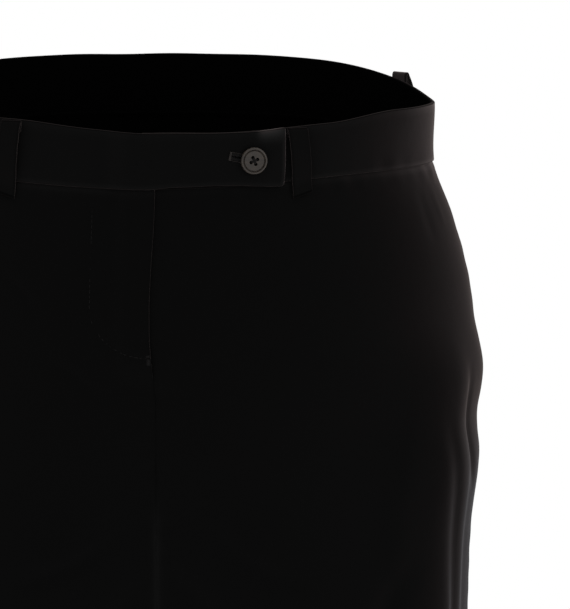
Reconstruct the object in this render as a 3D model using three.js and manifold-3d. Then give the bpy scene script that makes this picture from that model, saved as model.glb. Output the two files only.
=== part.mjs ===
// Velvet trousers, filled out and hollow as if worn: four panels, a three-part waistband with an
// extension tab, five belt loops and one four-hole button through a buttonhole.
//
// Units are millimetres. +Z is up, the front faces -Y and the wearer's left is +X. The origin is
// the middle of the waistband's ring, halfway up the band at the side seams.
//
// Every piece lies on one surface: the section of half the garment at each level, mirrored for the
// other half. A place on it is a level and the distance along that section from the side seam,
// which grows to the centre seam, or to the inseam below the crotch.

import * as THREE from "three";
import { mergeVertices } from "three/addons/utils/BufferGeometryUtils.js";
import Module from "manifold-3d";

// Cloth walls and the gaps between pieces
const CLOTH_WALL = 1.6;
const HEM_WALL = 2.8;
const BAND_WALL = 2.6;
const SEAM_GAP = 0.3;
const LAP_GAP = 0.4;

// Heights, measured at the side seams
const BAND_TOP = 17;
const BAND_BOTTOM = -17;
const CROTCH = -308;
const HEM = -1070;
const CROTCH_CURVE = 46;
const CROTCH_ROUNDING = 1.9;
const HEM_TURN = 35;

// The band's outer face stands this far proud of the panels below it
const BAND_PROUD = 0.6;

// Outer section by level: half width at the side seam, depth at centre front and centre back, the
// distance from the centre plane of the deepest part and of the inseam, and how far the level is
// lifted at the centre front and back, because the waist dips at the front and climbs at the back.
const SECTIONS = [
  { z: 17, halfWidth: 161, front: 95, back: 95, deepest: 0, inseam: 0, frontLift: -8.5, backLift: 20 },
  { z: -17, halfWidth: 161, front: 96, back: 97, deepest: 0, inseam: 0, frontLift: -6.1, backLift: 19 },
  { z: -48, halfWidth: 172, front: 99, back: 106, deepest: 0, inseam: 0, frontLift: -5, backLift: 14 },
  { z: -82, halfWidth: 181.5, front: 102.5, back: 118, deepest: 1, inseam: 0, frontLift: -3, backLift: 8 },
  { z: -109, halfWidth: 185.5, front: 104.5, back: 125, deepest: 3, inseam: 0, frontLift: -1, backLift: 4 },
  { z: -137, halfWidth: 190.5, front: 105, back: 129, deepest: 7, inseam: 0, frontLift: 0, backLift: 1 },
  { z: -165, halfWidth: 187, front: 105, back: 130, deepest: 13, inseam: 0, frontLift: 0, backLift: 0 },
  { z: -190, halfWidth: 188.5, front: 104, back: 128, deepest: 21, inseam: 0, frontLift: 0, backLift: 0 },
  { z: -232, halfWidth: 184, front: 102.5, back: 120, deepest: 37, inseam: 0, frontLift: 0, backLift: 0 },
  { z: -308, halfWidth: 182, front: 98, back: 106, deepest: 68, inseam: 0, frontLift: 0, backLift: 0 },
  { z: -410, halfWidth: 181, front: 92, back: 96, deepest: 91, inseam: 9, frontLift: 0, backLift: 0 },
  { z: -630, halfWidth: 177.5, front: 82, back: 85, deepest: 99, inseam: 22, frontLift: 0, backLift: 0 },
  { z: -850, halfWidth: 178.5, front: 79, back: 80, deepest: 103, inseam: 27, frontLift: 0, backLift: 0 },
  { z: -1070, halfWidth: 180, front: 79, back: 79, deepest: 105, inseam: 30, frontLift: 0, backLift: 0 },
];

// The front dips close to the centre only, as a power of the depth's share that grows up the band,
// and the top edge also sags on the left front between the button and the side
const FRONT_BEND = 6;
const TOP_BEND = 12;
const TOP_SAG = { start: 0, full: 70, fades: 98, end: 138, depth: 4.6 };

// The largest folds: soft ridges (height above 0) and troughs (below 0) that run down a panel.
// Each starts at one distance from the side seam and drifts to another, and fades at both ends.
const FOLDS = [
  { panel: "front_left", top: -100, bottom: -460, from: 51, to: 76, halfWidth: 24, height: 8.4 },
  { panel: "front_left", top: -146, bottom: -470, from: 55, to: 36, halfWidth: 7, height: -2.2 },
  { panel: "front_left", top: -146, bottom: -440, from: 41, to: 38, halfWidth: 8, height: 2.2 },
  { panel: "front_left", top: -430, bottom: -760, from: 92, to: 126, halfWidth: 13, height: 2.6 },
  { panel: "front_right", top: -108, bottom: -450, from: 54, to: 73, halfWidth: 23, height: 7.6 },
  { panel: "front_right", top: -152, bottom: -430, from: 52, to: 40, halfWidth: 7, height: -2 },
  { panel: "front_right", top: -160, bottom: -460, from: 39, to: 34, halfWidth: 8, height: 2 },
  { panel: "front_right", top: -460, bottom: -800, from: 112, to: 88, halfWidth: 13, height: 2.4 },
  { panel: "back_left", top: -150, bottom: -390, from: 22, to: 38, halfWidth: 9, height: 3.6 },
  { panel: "back_left", top: -196, bottom: -560, from: 96, to: 112, halfWidth: 14, height: 3.4 },
  { panel: "back_left", top: -250, bottom: -520, from: 205, to: 168, halfWidth: 13, height: -3 },
  { panel: "back_left", top: -560, bottom: -860, from: 148, to: 118, halfWidth: 14, height: 2.8 },
  { panel: "back_right", top: -158, bottom: -410, from: 26, to: 36, halfWidth: 9, height: 3.4 },
  { panel: "back_right", top: -205, bottom: -530, from: 106, to: 100, halfWidth: 14, height: 3.2 },
  { panel: "back_right", top: -244, bottom: -540, from: 212, to: 160, halfWidth: 13, height: -2.8 },
  { panel: "back_right", top: -540, bottom: -880, from: 128, to: 142, halfWidth: 14, height: 2.6 },
];

// Fly: the right front laps over a strip of the left front, down to the end of the opening
const FLY_END = -116;
const FLY_LAP = 12;
const FLY_RAMP = 12;

// Tab: the right band carries on past the centre front, over the left band
const TAB_END = 72.3;
const TAB_RAMP_START = -30;
const TAB_RAMP_END = -12;
const TAB_CORNER = 3;
const TAB_CURL_START = 57;
const TAB_CURL_RISE = 0.6;
const TAB_CURL_OUT = 2;
const TAB_DROOP_START = 30;
const TAB_DROOP = 2;
const BAND_UNDERLAP = 8;

// Button, buttonhole and the thread between them
const BUTTON_X = 54.1;
const BUTTON_Z = -1.1;
const BUTTON_RADIUS = 7.6;
const BUTTON_THICKNESS = 3;
const BUTTON_RIM = 1.5;
const BUTTON_WELL = 0.5;
const BUTTON_HOLE_RADIUS = 1;
const BUTTON_HOLE_SPACING = 2.8;
const BUTTON_LIFT = 0.5;
const BUTTON_TURN = -0.35;
const SLIT_LENGTH = 12.8;
const SLIT_TURN = -0.18;
const SLIT_HEIGHT = 1.2;
const KEYHOLE_RADIUS = 1.9;
const SHANK_RADIUS = 1.2;

// Belt loops: distance from the centre plane, slant between top and bottom, reach above and below
// the band and how far the strip bows out from it
const LOOP_WIDTH = 11.3;
const LOOP_WALL = 1.4;
const LOOPS = [
  { name: "loop_front_left", side: 1, back: false, x: 80.6, slant: 3.8, above: -0.4, below: 8.4, bow: 2.6 },
  { name: "loop_front_right", side: -1, back: false, x: 81, slant: 4.6, above: -0.2, below: 8, bow: 2.6 },
  { name: "loop_back_left", side: 1, back: true, x: 143, slant: 1, above: 4, below: 7, bow: 5.4 },
  { name: "loop_back_right", side: -1, back: true, x: 142, slant: 1, above: 3.6, below: 7.4, bow: 5 },
  { name: "loop_back_centre", side: 1, back: true, x: 0, slant: 0, above: -0.2, below: 7, bow: 2.6 },
];

// Grid steps: across a panel, down its hips, round its crotch curve and down its leg
const STEPS_ACROSS = 20;
const STEPS_HIP = 18;
const STEPS_CROTCH = 5;
const STEPS_LEG = 12;
const LEG_SPREAD = 1.35;
const STEPS_BAND_HEIGHT = 4;

// Points in each of a section curve's two stretches
const CURVE_STEPS = 60;

const velvet = new THREE.MeshStandardMaterial({ color: 0x0c0b0c, roughness: 0.95, metalness: 0 });
const horn = new THREE.MeshStandardMaterial({ color: 0x37322f, roughness: 0.4, metalness: 0 });
const thread = new THREE.MeshStandardMaterial({ color: 0x141314, roughness: 0.9, metalness: 0 });

function smooth(from, to, value) {
  const t = Math.min(1, Math.max(0, (value - from) / (to - from)));
  return t * t * (3 - 2 * t);
}

// Reads one column of the section table at a level, with a smooth curve through its rows
function sectionValue(column, z) {
  const last = SECTIONS.length - 1;
  let i = 0;
  while (i < last - 1 && z < SECTIONS[i + 1].z) {
    i += 1;
  }
  const above = SECTIONS[i];
  const below = SECTIONS[i + 1];
  const slopeAt = (k) => {
    const a = SECTIONS[Math.max(0, k - 1)];
    const b = SECTIONS[Math.min(last, k + 1)];
    return (b[column] - a[column]) / (b.z - a.z);
  };
  const span = below.z - above.z;
  const t = Math.min(1, Math.max(0, (z - above.z) / span));
  const rise = t * t * (3 - 2 * t);
  const startPull = t * (1 - t) * (1 - t) * span * slopeAt(i);
  const endPull = t * t * (1 - t) * span * slopeAt(i + 1);
  return above[column] + rise * (below[column] - above[column]) + startPull - endPull;
}

// The section of one half at a level, as points from the side seam inwards: a quarter oval to the
// deepest part, then a flat stretch to the centre plane. Over the crotch curve that stretch bends
// back to the crotch, and below it the half is a closed leg. Each point has its place, its outward
// direction and its distance from the side seam.
const sectionCache = new Map();

function sectionCurve(z, back) {
  const key = `${back} ${z.toFixed(4)}`;
  if (sectionCache.has(key)) {
    return sectionCache.get(key);
  }
  const halfWidth = sectionValue("halfWidth", z);
  const depth = sectionValue(back ? "back" : "front", z);
  const deepest = Math.max(0, sectionValue("deepest", z));
  const inseam = Math.max(0, sectionValue("inseam", z));
  const aboveCrotch = Math.min(1, Math.max(0, (z - CROTCH) / CROTCH_CURVE));
  const parting = 1 - aboveCrotch ** CROTCH_ROUNDING;
  const points = [];
  const add = (x, y, nx, ny) => {
    const last = points[points.length - 1];
    const distance = last ? last.distance + Math.hypot(x - last.x, y - last.y) : 0;
    const length = Math.hypot(nx, ny);
    points.push({ x, y, nx: nx / length, ny: ny / length, distance });
  };
  const outerRadius = halfWidth - deepest;
  for (let i = 0; i <= CURVE_STEPS; i += 1) {
    const turn = (Math.PI / 2) * (i / CURVE_STEPS);
    const sin = Math.sin(turn);
    const cos = Math.cos(turn);
    add(deepest + outerRadius * cos, depth * sin, depth * cos, outerRadius * sin);
  }
  const span = deepest - inseam;
  for (let i = 1; i <= CURVE_STEPS && span > 0.01; i += 1) {
    const turn = Math.asin(parting) * (i / CURVE_STEPS);
    const reach = parting > 0.001 ? Math.sin(turn) / parting : i / CURVE_STEPS;
    const lean = -depth * Math.sin(turn) * parting;
    add(deepest - span * reach, depth * Math.cos(turn), lean, span * Math.cos(turn));
  }
  const curve = { points, depth, length: points[points.length - 1].distance };
  sectionCache.set(key, curve);
  return curve;
}

// How far a level is lifted where the surface is a share of its full depth from the side seams
function levelLift(back, z, x, share) {
  if (back) {
    return sectionValue("backLift", z) * smooth(0, 1, share);
  }
  const height = Math.min(1, Math.max(0, (z - BAND_BOTTOM) / (BAND_TOP - BAND_BOTTOM)));
  const bend = FRONT_BEND + (TOP_BEND - FRONT_BEND) * height;
  const sagging = smooth(TOP_SAG.start, TOP_SAG.full, x) * smooth(TOP_SAG.end, TOP_SAG.fades, x);
  return sectionValue("frontLift", z) * share ** bend - TOP_SAG.depth * height * sagging;
}

// A point at a level and a distance along the section, moved out from the surface, on the side +1
// (left) or -1 (right). Past the centre plane the section goes on as its own mirror image.
function surfacePoint(place, z, distance, out) {
  const { points, depth, length } = sectionCurve(z, place.back);
  const crossed = distance > length;
  const wanted = crossed ? 2 * length - distance : Math.max(0, distance);
  let i = 0;
  while (i < points.length - 2 && points[i + 1].distance < wanted) {
    i += 1;
  }
  const a = points[i];
  const b = points[i + 1];
  const t = Math.min(1, Math.max(0, (wanted - a.distance) / (b.distance - a.distance)));
  const mix = (key) => a[key] + (b[key] - a[key]) * t;
  const x = mix("x") + mix("nx") * out;
  const y = mix("y") + mix("ny") * out;
  const side = crossed ? -place.side : place.side;
  const lift = levelLift(place.back, z, side * mix("x"), Math.max(0, mix("y") / depth));
  return new THREE.Vector3(side * x, place.back ? y : -y, z + lift);
}

// The outward direction of a panel, square to its surface also where that slopes
function outwardAt(place, z, distance) {
  const { length } = sectionCurve(z, place.back);
  const beside = (level) => {
    const share = sectionCurve(level, place.back).length / length;
    return surfacePoint(place, level, distance * share, 0);
  };
  const rise = beside(z + 1).sub(beside(z - 1));
  const level = surfacePoint(place, z, distance, 1).sub(surfacePoint(place, z, distance, 0));
  const across = new THREE.Vector3(level.y, -level.x, 0);
  return new THREE.Vector3().crossVectors(rise, across).normalize();
}

// The distance along the section at which it is as far as x from the centre plane. A negative x
// lies past the centre plane.
function distanceAtX(place, z, x) {
  const { points, length } = sectionCurve(z, place.back);
  let i = 0;
  while (i < points.length - 2 && points[i + 1].x > Math.abs(x)) {
    i += 1;
  }
  const a = points[i];
  const b = points[i + 1];
  const distance = a.distance + ((a.x - Math.abs(x)) / (a.x - b.x)) * (b.distance - a.distance);
  return x < 0 ? 2 * length - distance : distance;
}

// Outward, upward and sideways directions at a place, for what is fastened there
function frameAt(place, z, distance) {
  const base = surfacePoint(place, z, distance, 0);
  const outward = surfacePoint(place, z, distance, 1).sub(base).normalize();
  const along = surfacePoint(place, z + 1, distance, 0).sub(base);
  const across = new THREE.Vector3().crossVectors(along, outward).normalize();
  return { base, outward, across, up: new THREE.Vector3().crossVectors(outward, across) };
}

function foldHeight(panelName, z, distance) {
  let height = 0;
  for (const fold of FOLDS) {
    if (fold.panel === panelName && z < fold.top && z > fold.bottom) {
      const along = (fold.top - z) / (fold.top - fold.bottom);
      const middle = fold.from + (fold.to - fold.from) * along;
      const across = (distance - middle) / fold.halfWidth;
      const fade = smooth(0, 0.22, along) * smooth(1, 0.45, along);
      height += fold.height * fade * Math.exp(-across * across);
    }
  }
  return height;
}

function solidVolume(positions, triangles) {
  let volume = 0;
  for (let i = 0; i < triangles.length; i += 3) {
    const a = positions[triangles[i]];
    const b = positions[triangles[i + 1]];
    const c = positions[triangles[i + 2]];
    volume += a.dot(new THREE.Vector3().crossVectors(b, c)) / 6;
  }
  return volume;
}

function geometryOf(positions, triangles) {
  if (solidVolume(positions, triangles) < 0) {
    triangles.reverse();
  }
  const geometry = new THREE.BufferGeometry();
  const numbers = positions.flatMap((point) => point.toArray());
  geometry.setAttribute("position", new THREE.Float32BufferAttribute(numbers, 3));
  geometry.setIndex(triangles);
  return geometry;
}

// A closed wall between two grids of points, an outer and an inner one, with its four edges
function wallGeometry(outerRows, innerRows) {
  const rows = outerRows.length;
  const columns = outerRows[0].length;
  const positions = [...outerRows.flat(), ...innerRows.flat()];
  const outer = (r, c) => r * columns + c;
  const inner = (r, c) => rows * columns + r * columns + c;
  const triangles = [];
  const quad = (a, b, c, d) => triangles.push(a, b, c, a, c, d);
  for (let r = 0; r < rows - 1; r += 1) {
    for (let c = 0; c < columns - 1; c += 1) {
      quad(outer(r, c), outer(r + 1, c), outer(r + 1, c + 1), outer(r, c + 1));
      quad(inner(r, c), inner(r, c + 1), inner(r + 1, c + 1), inner(r + 1, c));
    }
    quad(outer(r, 0), inner(r, 0), inner(r + 1, 0), outer(r + 1, 0));
    quad(outer(r, columns - 1), outer(r + 1, columns - 1), inner(r + 1, columns - 1), inner(r, columns - 1));
  }
  for (let c = 0; c < columns - 1; c += 1) {
    quad(outer(0, c), outer(0, c + 1), inner(0, c + 1), inner(0, c));
    quad(outer(rows - 1, c), inner(rows - 1, c), inner(rows - 1, c + 1), outer(rows - 1, c + 1));
  }
  return geometryOf(positions, triangles);
}

function panelLevels() {
  const levels = [];
  const top = BAND_BOTTOM - SEAM_GAP / 2;
  const curveTop = CROTCH + CROTCH_CURVE;
  for (let i = 0; i < STEPS_HIP; i += 1) {
    levels.push(top + (curveTop - top) * (i / STEPS_HIP));
  }
  for (let i = 0; i < STEPS_CROTCH; i += 1) {
    const turn = (Math.PI / 2) * (1 - i / STEPS_CROTCH);
    levels.push(CROTCH + CROTCH_CURVE * (1 - Math.cos(turn)));
  }
  const hemTop = HEM + HEM_TURN;
  for (let i = 0; i < STEPS_LEG; i += 1) {
    levels.push(CROTCH + (hemTop - CROTCH) * (i / STEPS_LEG) ** LEG_SPREAD);
  }
  levels.push(hemTop, hemTop - 1, HEM);
  return levels;
}

// How far the fly's upper layer stands out near the centre front, and how wide its lap is
function flyStandOff(z, distance) {
  const along = smooth(FLY_END - 18, FLY_END, z);
  return (CLOTH_WALL + LAP_GAP) * along * smooth(FLY_RAMP + FLY_RAMP, FLY_RAMP, distance);
}

function flyLap(z) {
  return FLY_LAP * smooth(FLY_END + 4, FLY_END + 16, z);
}

function panelGeometry(place) {
  const outerRows = [];
  const innerRows = [];
  for (const z of panelLevels()) {
    const wall = z < HEM + HEM_TURN - 0.5 ? HEM_WALL : CLOTH_WALL;
    const lap = place.name === "front_left" ? flyLap(z) : 0;
    const end = sectionCurve(z, place.back).length;
    const first = SEAM_GAP / 2;
    const last = end + lap - SEAM_GAP / 2;
    const outerRow = [];
    const innerRow = [];
    for (let c = 0; c <= STEPS_ACROSS; c += 1) {
      const distance = first + (last - first) * (c / STEPS_ACROSS);
      const fly = place.name === "front_right" ? flyStandOff(z, end - distance) : 0;
      const out = foldHeight(place.name, z, distance) + fly;
      const base = surfacePoint(place, z, distance, 0);
      const outward = outwardAt(place, z, distance);
      outerRow.push(base.clone().addScaledVector(outward, out));
      innerRow.push(base.clone().addScaledVector(outward, out - wall));
    }
    outerRows.push(outerRow);
    innerRows.push(innerRow);
  }
  return wallGeometry(outerRows, innerRows);
}

// A stretch of waistband between two distances along its section. The shape function gives, at a
// distance from the centre plane, how far the band stands out and how its two edges rise.
function bandGeometry(place, start, end, steps, shape) {
  const outerRows = [];
  const innerRows = [];
  const bottom = BAND_BOTTOM + SEAM_GAP / 2;
  for (let r = 0; r <= STEPS_BAND_HEIGHT; r += 1) {
    const height = r / STEPS_BAND_HEIGHT;
    const z = bottom + (BAND_TOP - bottom) * height;
    const outerRow = [];
    const innerRow = [];
    for (let c = 0; c <= steps; c += 1) {
      const distance = start + (end - start) * (c / steps);
      const x = place.side * surfacePoint(place, z, distance, 0).x;
      const { out, topRise, bottomRise } = shape(x, height);
      const rise = bottomRise + (topRise - bottomRise) * height;
      const outer = surfacePoint(place, z, distance, BAND_PROUD + out);
      const inner = surfacePoint(place, z, distance, BAND_PROUD + out - BAND_WALL);
      outer.z += rise;
      inner.z += rise;
      outerRow.push(outer);
      innerRow.push(inner);
    }
    outerRows.push(outerRow);
    innerRows.push(innerRow);
  }
  return wallGeometry(outerRows, innerRows);
}

const flatBand = () => ({ out: 0, topRise: 0, bottomRise: 0 });

// The right band's shape: it ramps out before the centre front, lies over the left band, and its
// free end droops, with a round lower corner and an upper corner that curls out. Distances past
// the centre front are negative here, because the band belongs to the right half.
function tabBand(x, height) {
  const past = -x;
  const lap = (BAND_WALL + LAP_GAP) * smooth(TAB_RAMP_START, TAB_RAMP_END, past);
  const curl = smooth(TAB_CURL_START, TAB_END, past);
  const intoCorner = Math.max(0, past - (TAB_END - TAB_CORNER));
  const cornerRise = TAB_CORNER - Math.sqrt(Math.max(0, TAB_CORNER ** 2 - intoCorner ** 2));
  const droop = TAB_DROOP * smooth(TAB_DROOP_START, TAB_END, past);
  return {
    out: lap + TAB_CURL_OUT * curl * height * height,
    topRise: TAB_CURL_RISE * curl * curl,
    bottomRise: cornerRise - droop,
  };
}

// Boolean work with manifold-3d
const wasm = await Module();
wasm.setup();

function manifoldOf(geometry) {
  const bare = geometry.clone();
  for (const name of Object.keys(bare.attributes)) {
    if (name !== "position") {
      bare.deleteAttribute(name);
    }
  }
  const merged = mergeVertices(bare, 1e-4);
  return new wasm.Manifold(new wasm.Mesh({
    numProp: 3,
    vertProperties: new Float32Array(merged.attributes.position.array),
    triVerts: new Uint32Array(merged.index.array),
  }));
}

function geometryFrom(manifold) {
  const mesh = manifold.getMesh();
  const geometry = new THREE.BufferGeometry();
  geometry.setAttribute("position", new THREE.Float32BufferAttribute(mesh.vertProperties, 3));
  geometry.setIndex(Array.from(mesh.triVerts));
  return geometry;
}

// A matrix that takes a tool from its own axes (X across, Y up, Z outward) to a place
function placement(frame, out) {
  const origin = frame.base.clone().addScaledVector(frame.outward, out);
  return new THREE.Matrix4()
    .makeBasis(frame.across, frame.up, frame.outward)
    .setPosition(origin);
}

const leftFront = { name: "front_left", side: 1, back: false };
const rightFront = { name: "front_right", side: -1, back: false };
const leftBack = { name: "back_left", side: 1, back: true };
const rightBack = { name: "back_right", side: -1, back: true };

const TAB_OUT = BAND_PROUD + BAND_WALL + LAP_GAP;
const buttonFrame = frameAt(leftFront, BUTTON_Z, distanceAtX(leftFront, BUTTON_Z, BUTTON_X));

function buttonholeTool() {
  const depth = 4 * BAND_WALL;
  const slit = new THREE.BoxGeometry(SLIT_LENGTH, SLIT_HEIGHT, depth);
  slit.translate(-SLIT_LENGTH / 2, 0, 0);
  slit.rotateZ(SLIT_TURN);
  const keyhole = new THREE.CylinderGeometry(KEYHOLE_RADIUS, KEYHOLE_RADIUS, depth, 16);
  keyhole.rotateX(Math.PI / 2);
  return manifoldOf(slit).add(manifoldOf(keyhole));
}

function placedManifold(manifold, matrix) {
  return manifoldOf(geometryFrom(manifold).applyMatrix4(matrix));
}

function rightBandGeometry() {
  const end = distanceAtX(rightFront, 0, -TAB_END);
  const band = manifoldOf(bandGeometry(rightFront, SEAM_GAP / 2, end, 34, tabBand));
  const hole = placedManifold(buttonholeTool(), placement(buttonFrame, TAB_OUT - BAND_WALL / 2));
  return geometryFrom(band.subtract(hole));
}

function leftBandGeometry() {
  const end = distanceAtX(leftFront, 0, -BAND_UNDERLAP);
  return bandGeometry(leftFront, SEAM_GAP / 2, end, 24, flatBand);
}

// The back band runs from side seam to side seam
function backBandGeometry() {
  const whole = 2 * sectionCurve(0, true).length;
  return bandGeometry(leftBack, SEAM_GAP / 2, whole - SEAM_GAP / 2, 44, flatBand);
}

// Four-hole button with a raised rim round a shallow well
function buttonGeometry() {
  const wellRadius = BUTTON_RADIUS - BUTTON_RIM;
  const chamfer = 0.5;
  const profile = [
    [0, 0],
    [BUTTON_RADIUS - chamfer, 0],
    [BUTTON_RADIUS, chamfer],
    [BUTTON_RADIUS, BUTTON_THICKNESS - chamfer],
    [BUTTON_RADIUS - chamfer, BUTTON_THICKNESS],
    [wellRadius + chamfer, BUTTON_THICKNESS],
    [wellRadius, BUTTON_THICKNESS - BUTTON_WELL],
    [0, BUTTON_THICKNESS - BUTTON_WELL],
  ].map(([r, h]) => new THREE.Vector2(r, h));
  let button = manifoldOf(new THREE.LatheGeometry(profile, 36));
  for (let i = 0; i < 4; i += 1) {
    const turn = Math.PI / 4 + (i * Math.PI) / 2;
    const reach = BUTTON_HOLE_SPACING / Math.SQRT2;
    const hole = new THREE.CylinderGeometry(BUTTON_HOLE_RADIUS, BUTTON_HOLE_RADIUS, 3 * BUTTON_THICKNESS, 12);
    hole.translate(reach * Math.cos(turn), 0, reach * Math.sin(turn));
    button = button.subtract(manifoldOf(hole));
  }
  const geometry = geometryFrom(button);
  geometry.rotateX(Math.PI / 2);
  geometry.rotateZ(BUTTON_TURN);
  return geometry.applyMatrix4(placement(buttonFrame, TAB_OUT + BUTTON_LIFT));
}

// The thread that carries the button, wound into a short post through the keyhole
function shankGeometry() {
  const from = BAND_PROUD + SEAM_GAP;
  const to = TAB_OUT + BUTTON_LIFT - SEAM_GAP;
  const shank = new THREE.CylinderGeometry(SHANK_RADIUS, SHANK_RADIUS, to - from, 12);
  shank.rotateX(Math.PI / 2);
  return shank.applyMatrix4(placement(buttonFrame, (from + to) / 2));
}

// One belt loop: a strip folded under at both ends. Its middle line is drawn as (out, up) points
// beside the band and the strip is as wide as the loop.
function loopGeometry(loop) {
  const top = BAND_TOP + loop.above;
  const bottom = BAND_BOTTOM - loop.below;
  const touch = BAND_PROUD + SEAM_GAP + LOOP_WALL / 2;
  const fold = touch + LOOP_WALL + SEAM_GAP;
  const high = touch + loop.bow;
  const line = new THREE.CatmullRomCurve3([
    new THREE.Vector3(touch, BAND_TOP - 7, 0),
    new THREE.Vector3(touch, top - 3.6, 0),
    new THREE.Vector3(touch + 0.2, top - 1.6, 0),
    new THREE.Vector3((touch + fold) / 2, top - LOOP_WALL / 2, 0),
    new THREE.Vector3(fold + 0.3, top - 1.8, 0),
    new THREE.Vector3(high, BAND_TOP - 6, 0),
    new THREE.Vector3(high + 0.3, 0, 0),
    new THREE.Vector3(high - 0.6, BAND_BOTTOM + 8, 0),
    new THREE.Vector3(touch + 0.2, BAND_BOTTOM - 1, 0),
    new THREE.Vector3(touch, bottom + 3, 0),
    new THREE.Vector3(touch, bottom, 0),
  ]);
  const points = line.getSpacedPoints(22);
  const place = { side: loop.side, back: loop.back };
  const outerRows = [];
  const innerRows = [];
  points.forEach((point, i) => {
    const before = points[Math.max(0, i - 1)];
    const after = points[Math.min(points.length - 1, i + 1)];
    const along = after.clone().sub(before).normalize();
    const slide = loop.slant * (0.5 - (point.y - bottom) / (top - bottom));
    const level = Math.min(BAND_TOP, Math.max(bottom, point.y));
    const frame = frameAt(place, level, distanceAtX(place, level, loop.x) - slide);
    const rows = [1, -1].map((face) => [-0.5, 0.5].map((across) => frame.base.clone()
      .addScaledVector(frame.outward, point.x + (face * along.y * LOOP_WALL) / 2)
      .addScaledVector(frame.up, point.y - level - (face * along.x * LOOP_WALL) / 2)
      .addScaledVector(frame.across, across * LOOP_WIDTH)));
    outerRows.push(rows[0]);
    innerRows.push(rows[1]);
  });
  return wallGeometry(outerRows, innerRows);
}

const trousers = new THREE.Group();

function addPiece(name, geometry, material) {
  const mesh = new THREE.Mesh(geometry, material);
  mesh.name = name;
  trousers.add(mesh);
}

for (const panel of [leftFront, rightFront, leftBack, rightBack]) {
  addPiece(panel.name, panelGeometry(panel), velvet);
}
addPiece("band_front_right", rightBandGeometry(), velvet);
addPiece("band_front_left", leftBandGeometry(), velvet);
addPiece("band_back", backBandGeometry(), velvet);
for (const loop of LOOPS) {
  addPiece(loop.name, loopGeometry(loop), velvet);
}
addPiece("button", buttonGeometry(), horn);
addPiece("button_thread", shankGeometry(), thread);

export default trousers;
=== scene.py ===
# The looks of a pair of black velvet trousers, filled out and hollow as if worn. Every cloth piece
# is a fine shell on the form of its own CAD solid, with the folds, seams and sewing that the solid
# is too coarse for. Sizes are in millimetres until a mesh is made; the frame is in metres.

import math
from collections import namedtuple

import bpy
import numpy as np
from mathutils import Matrix, Vector


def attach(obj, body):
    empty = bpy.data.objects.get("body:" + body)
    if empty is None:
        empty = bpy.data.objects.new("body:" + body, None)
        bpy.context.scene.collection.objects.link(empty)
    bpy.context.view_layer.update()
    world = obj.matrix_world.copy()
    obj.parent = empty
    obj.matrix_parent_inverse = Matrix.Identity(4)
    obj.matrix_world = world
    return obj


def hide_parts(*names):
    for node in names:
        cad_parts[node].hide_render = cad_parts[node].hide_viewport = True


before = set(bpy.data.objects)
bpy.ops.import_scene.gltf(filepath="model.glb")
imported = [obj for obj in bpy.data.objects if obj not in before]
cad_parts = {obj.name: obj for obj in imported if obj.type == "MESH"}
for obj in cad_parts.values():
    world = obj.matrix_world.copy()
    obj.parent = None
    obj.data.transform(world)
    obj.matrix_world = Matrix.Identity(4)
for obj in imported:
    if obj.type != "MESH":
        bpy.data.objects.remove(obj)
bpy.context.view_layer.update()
scene = bpy.context.scene
MM = 0.001

# Cloth walls and the gaps between pieces, as in the solids
CLOTH_WALL = 1.6
HEM_WALL = 2.8
BAND_WALL = 2.6
SEAM_GAP = 0.3
LAP_GAP = 0.4
BAND_PROUD = 0.6

# Heights, measured at the side seams
BAND_TOP = 17
BAND_BOTTOM = -17
CROTCH = -308
HEM = -1070
CROTCH_CURVE = 46
CROTCH_ROUNDING = 1.9
HEM_TURN = 35

# Outer section by level: half width at the side seam, depth at centre front and back, distance
# from the centre plane of the deepest part and of the inseam, and the lift of the level at the
# centre front and back
SectionRow = namedtuple("SectionRow", "z half_width front back deepest inseam front_lift back_lift")
SECTIONS = [
    SectionRow(17, 161, 95, 95, 0, 0, -8.5, 20),
    SectionRow(-17, 161, 96, 97, 0, 0, -6.1, 19),
    SectionRow(-48, 172, 99, 106, 0, 0, -5, 14),
    SectionRow(-82, 181.5, 102.5, 118, 1, 0, -3, 8),
    SectionRow(-109, 185.5, 104.5, 125, 3, 0, -1, 4),
    SectionRow(-137, 190.5, 105, 129, 7, 0, 0, 1),
    SectionRow(-165, 187, 105, 130, 13, 0, 0, 0),
    SectionRow(-190, 188.5, 104, 128, 21, 0, 0, 0),
    SectionRow(-232, 184, 102.5, 120, 37, 0, 0, 0),
    SectionRow(-308, 182, 98, 106, 68, 0, 0, 0),
    SectionRow(-410, 181, 92, 96, 91, 9, 0, 0),
    SectionRow(-630, 177.5, 82, 85, 99, 22, 0, 0),
    SectionRow(-850, 178.5, 79, 80, 103, 27, 0, 0),
    SectionRow(-1070, 180, 79, 79, 105, 30, 0, 0),
]

# The front dips close to the centre only, as a power of the depth's share that grows up the band,
# and the top edge also sags on the left front between the button and the side
FRONT_BEND = 6
TOP_BEND = 12
TOP_SAG_FROM = (0, 70)
TOP_SAG_TO = (138, 98)
TOP_SAG = 4.6

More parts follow.
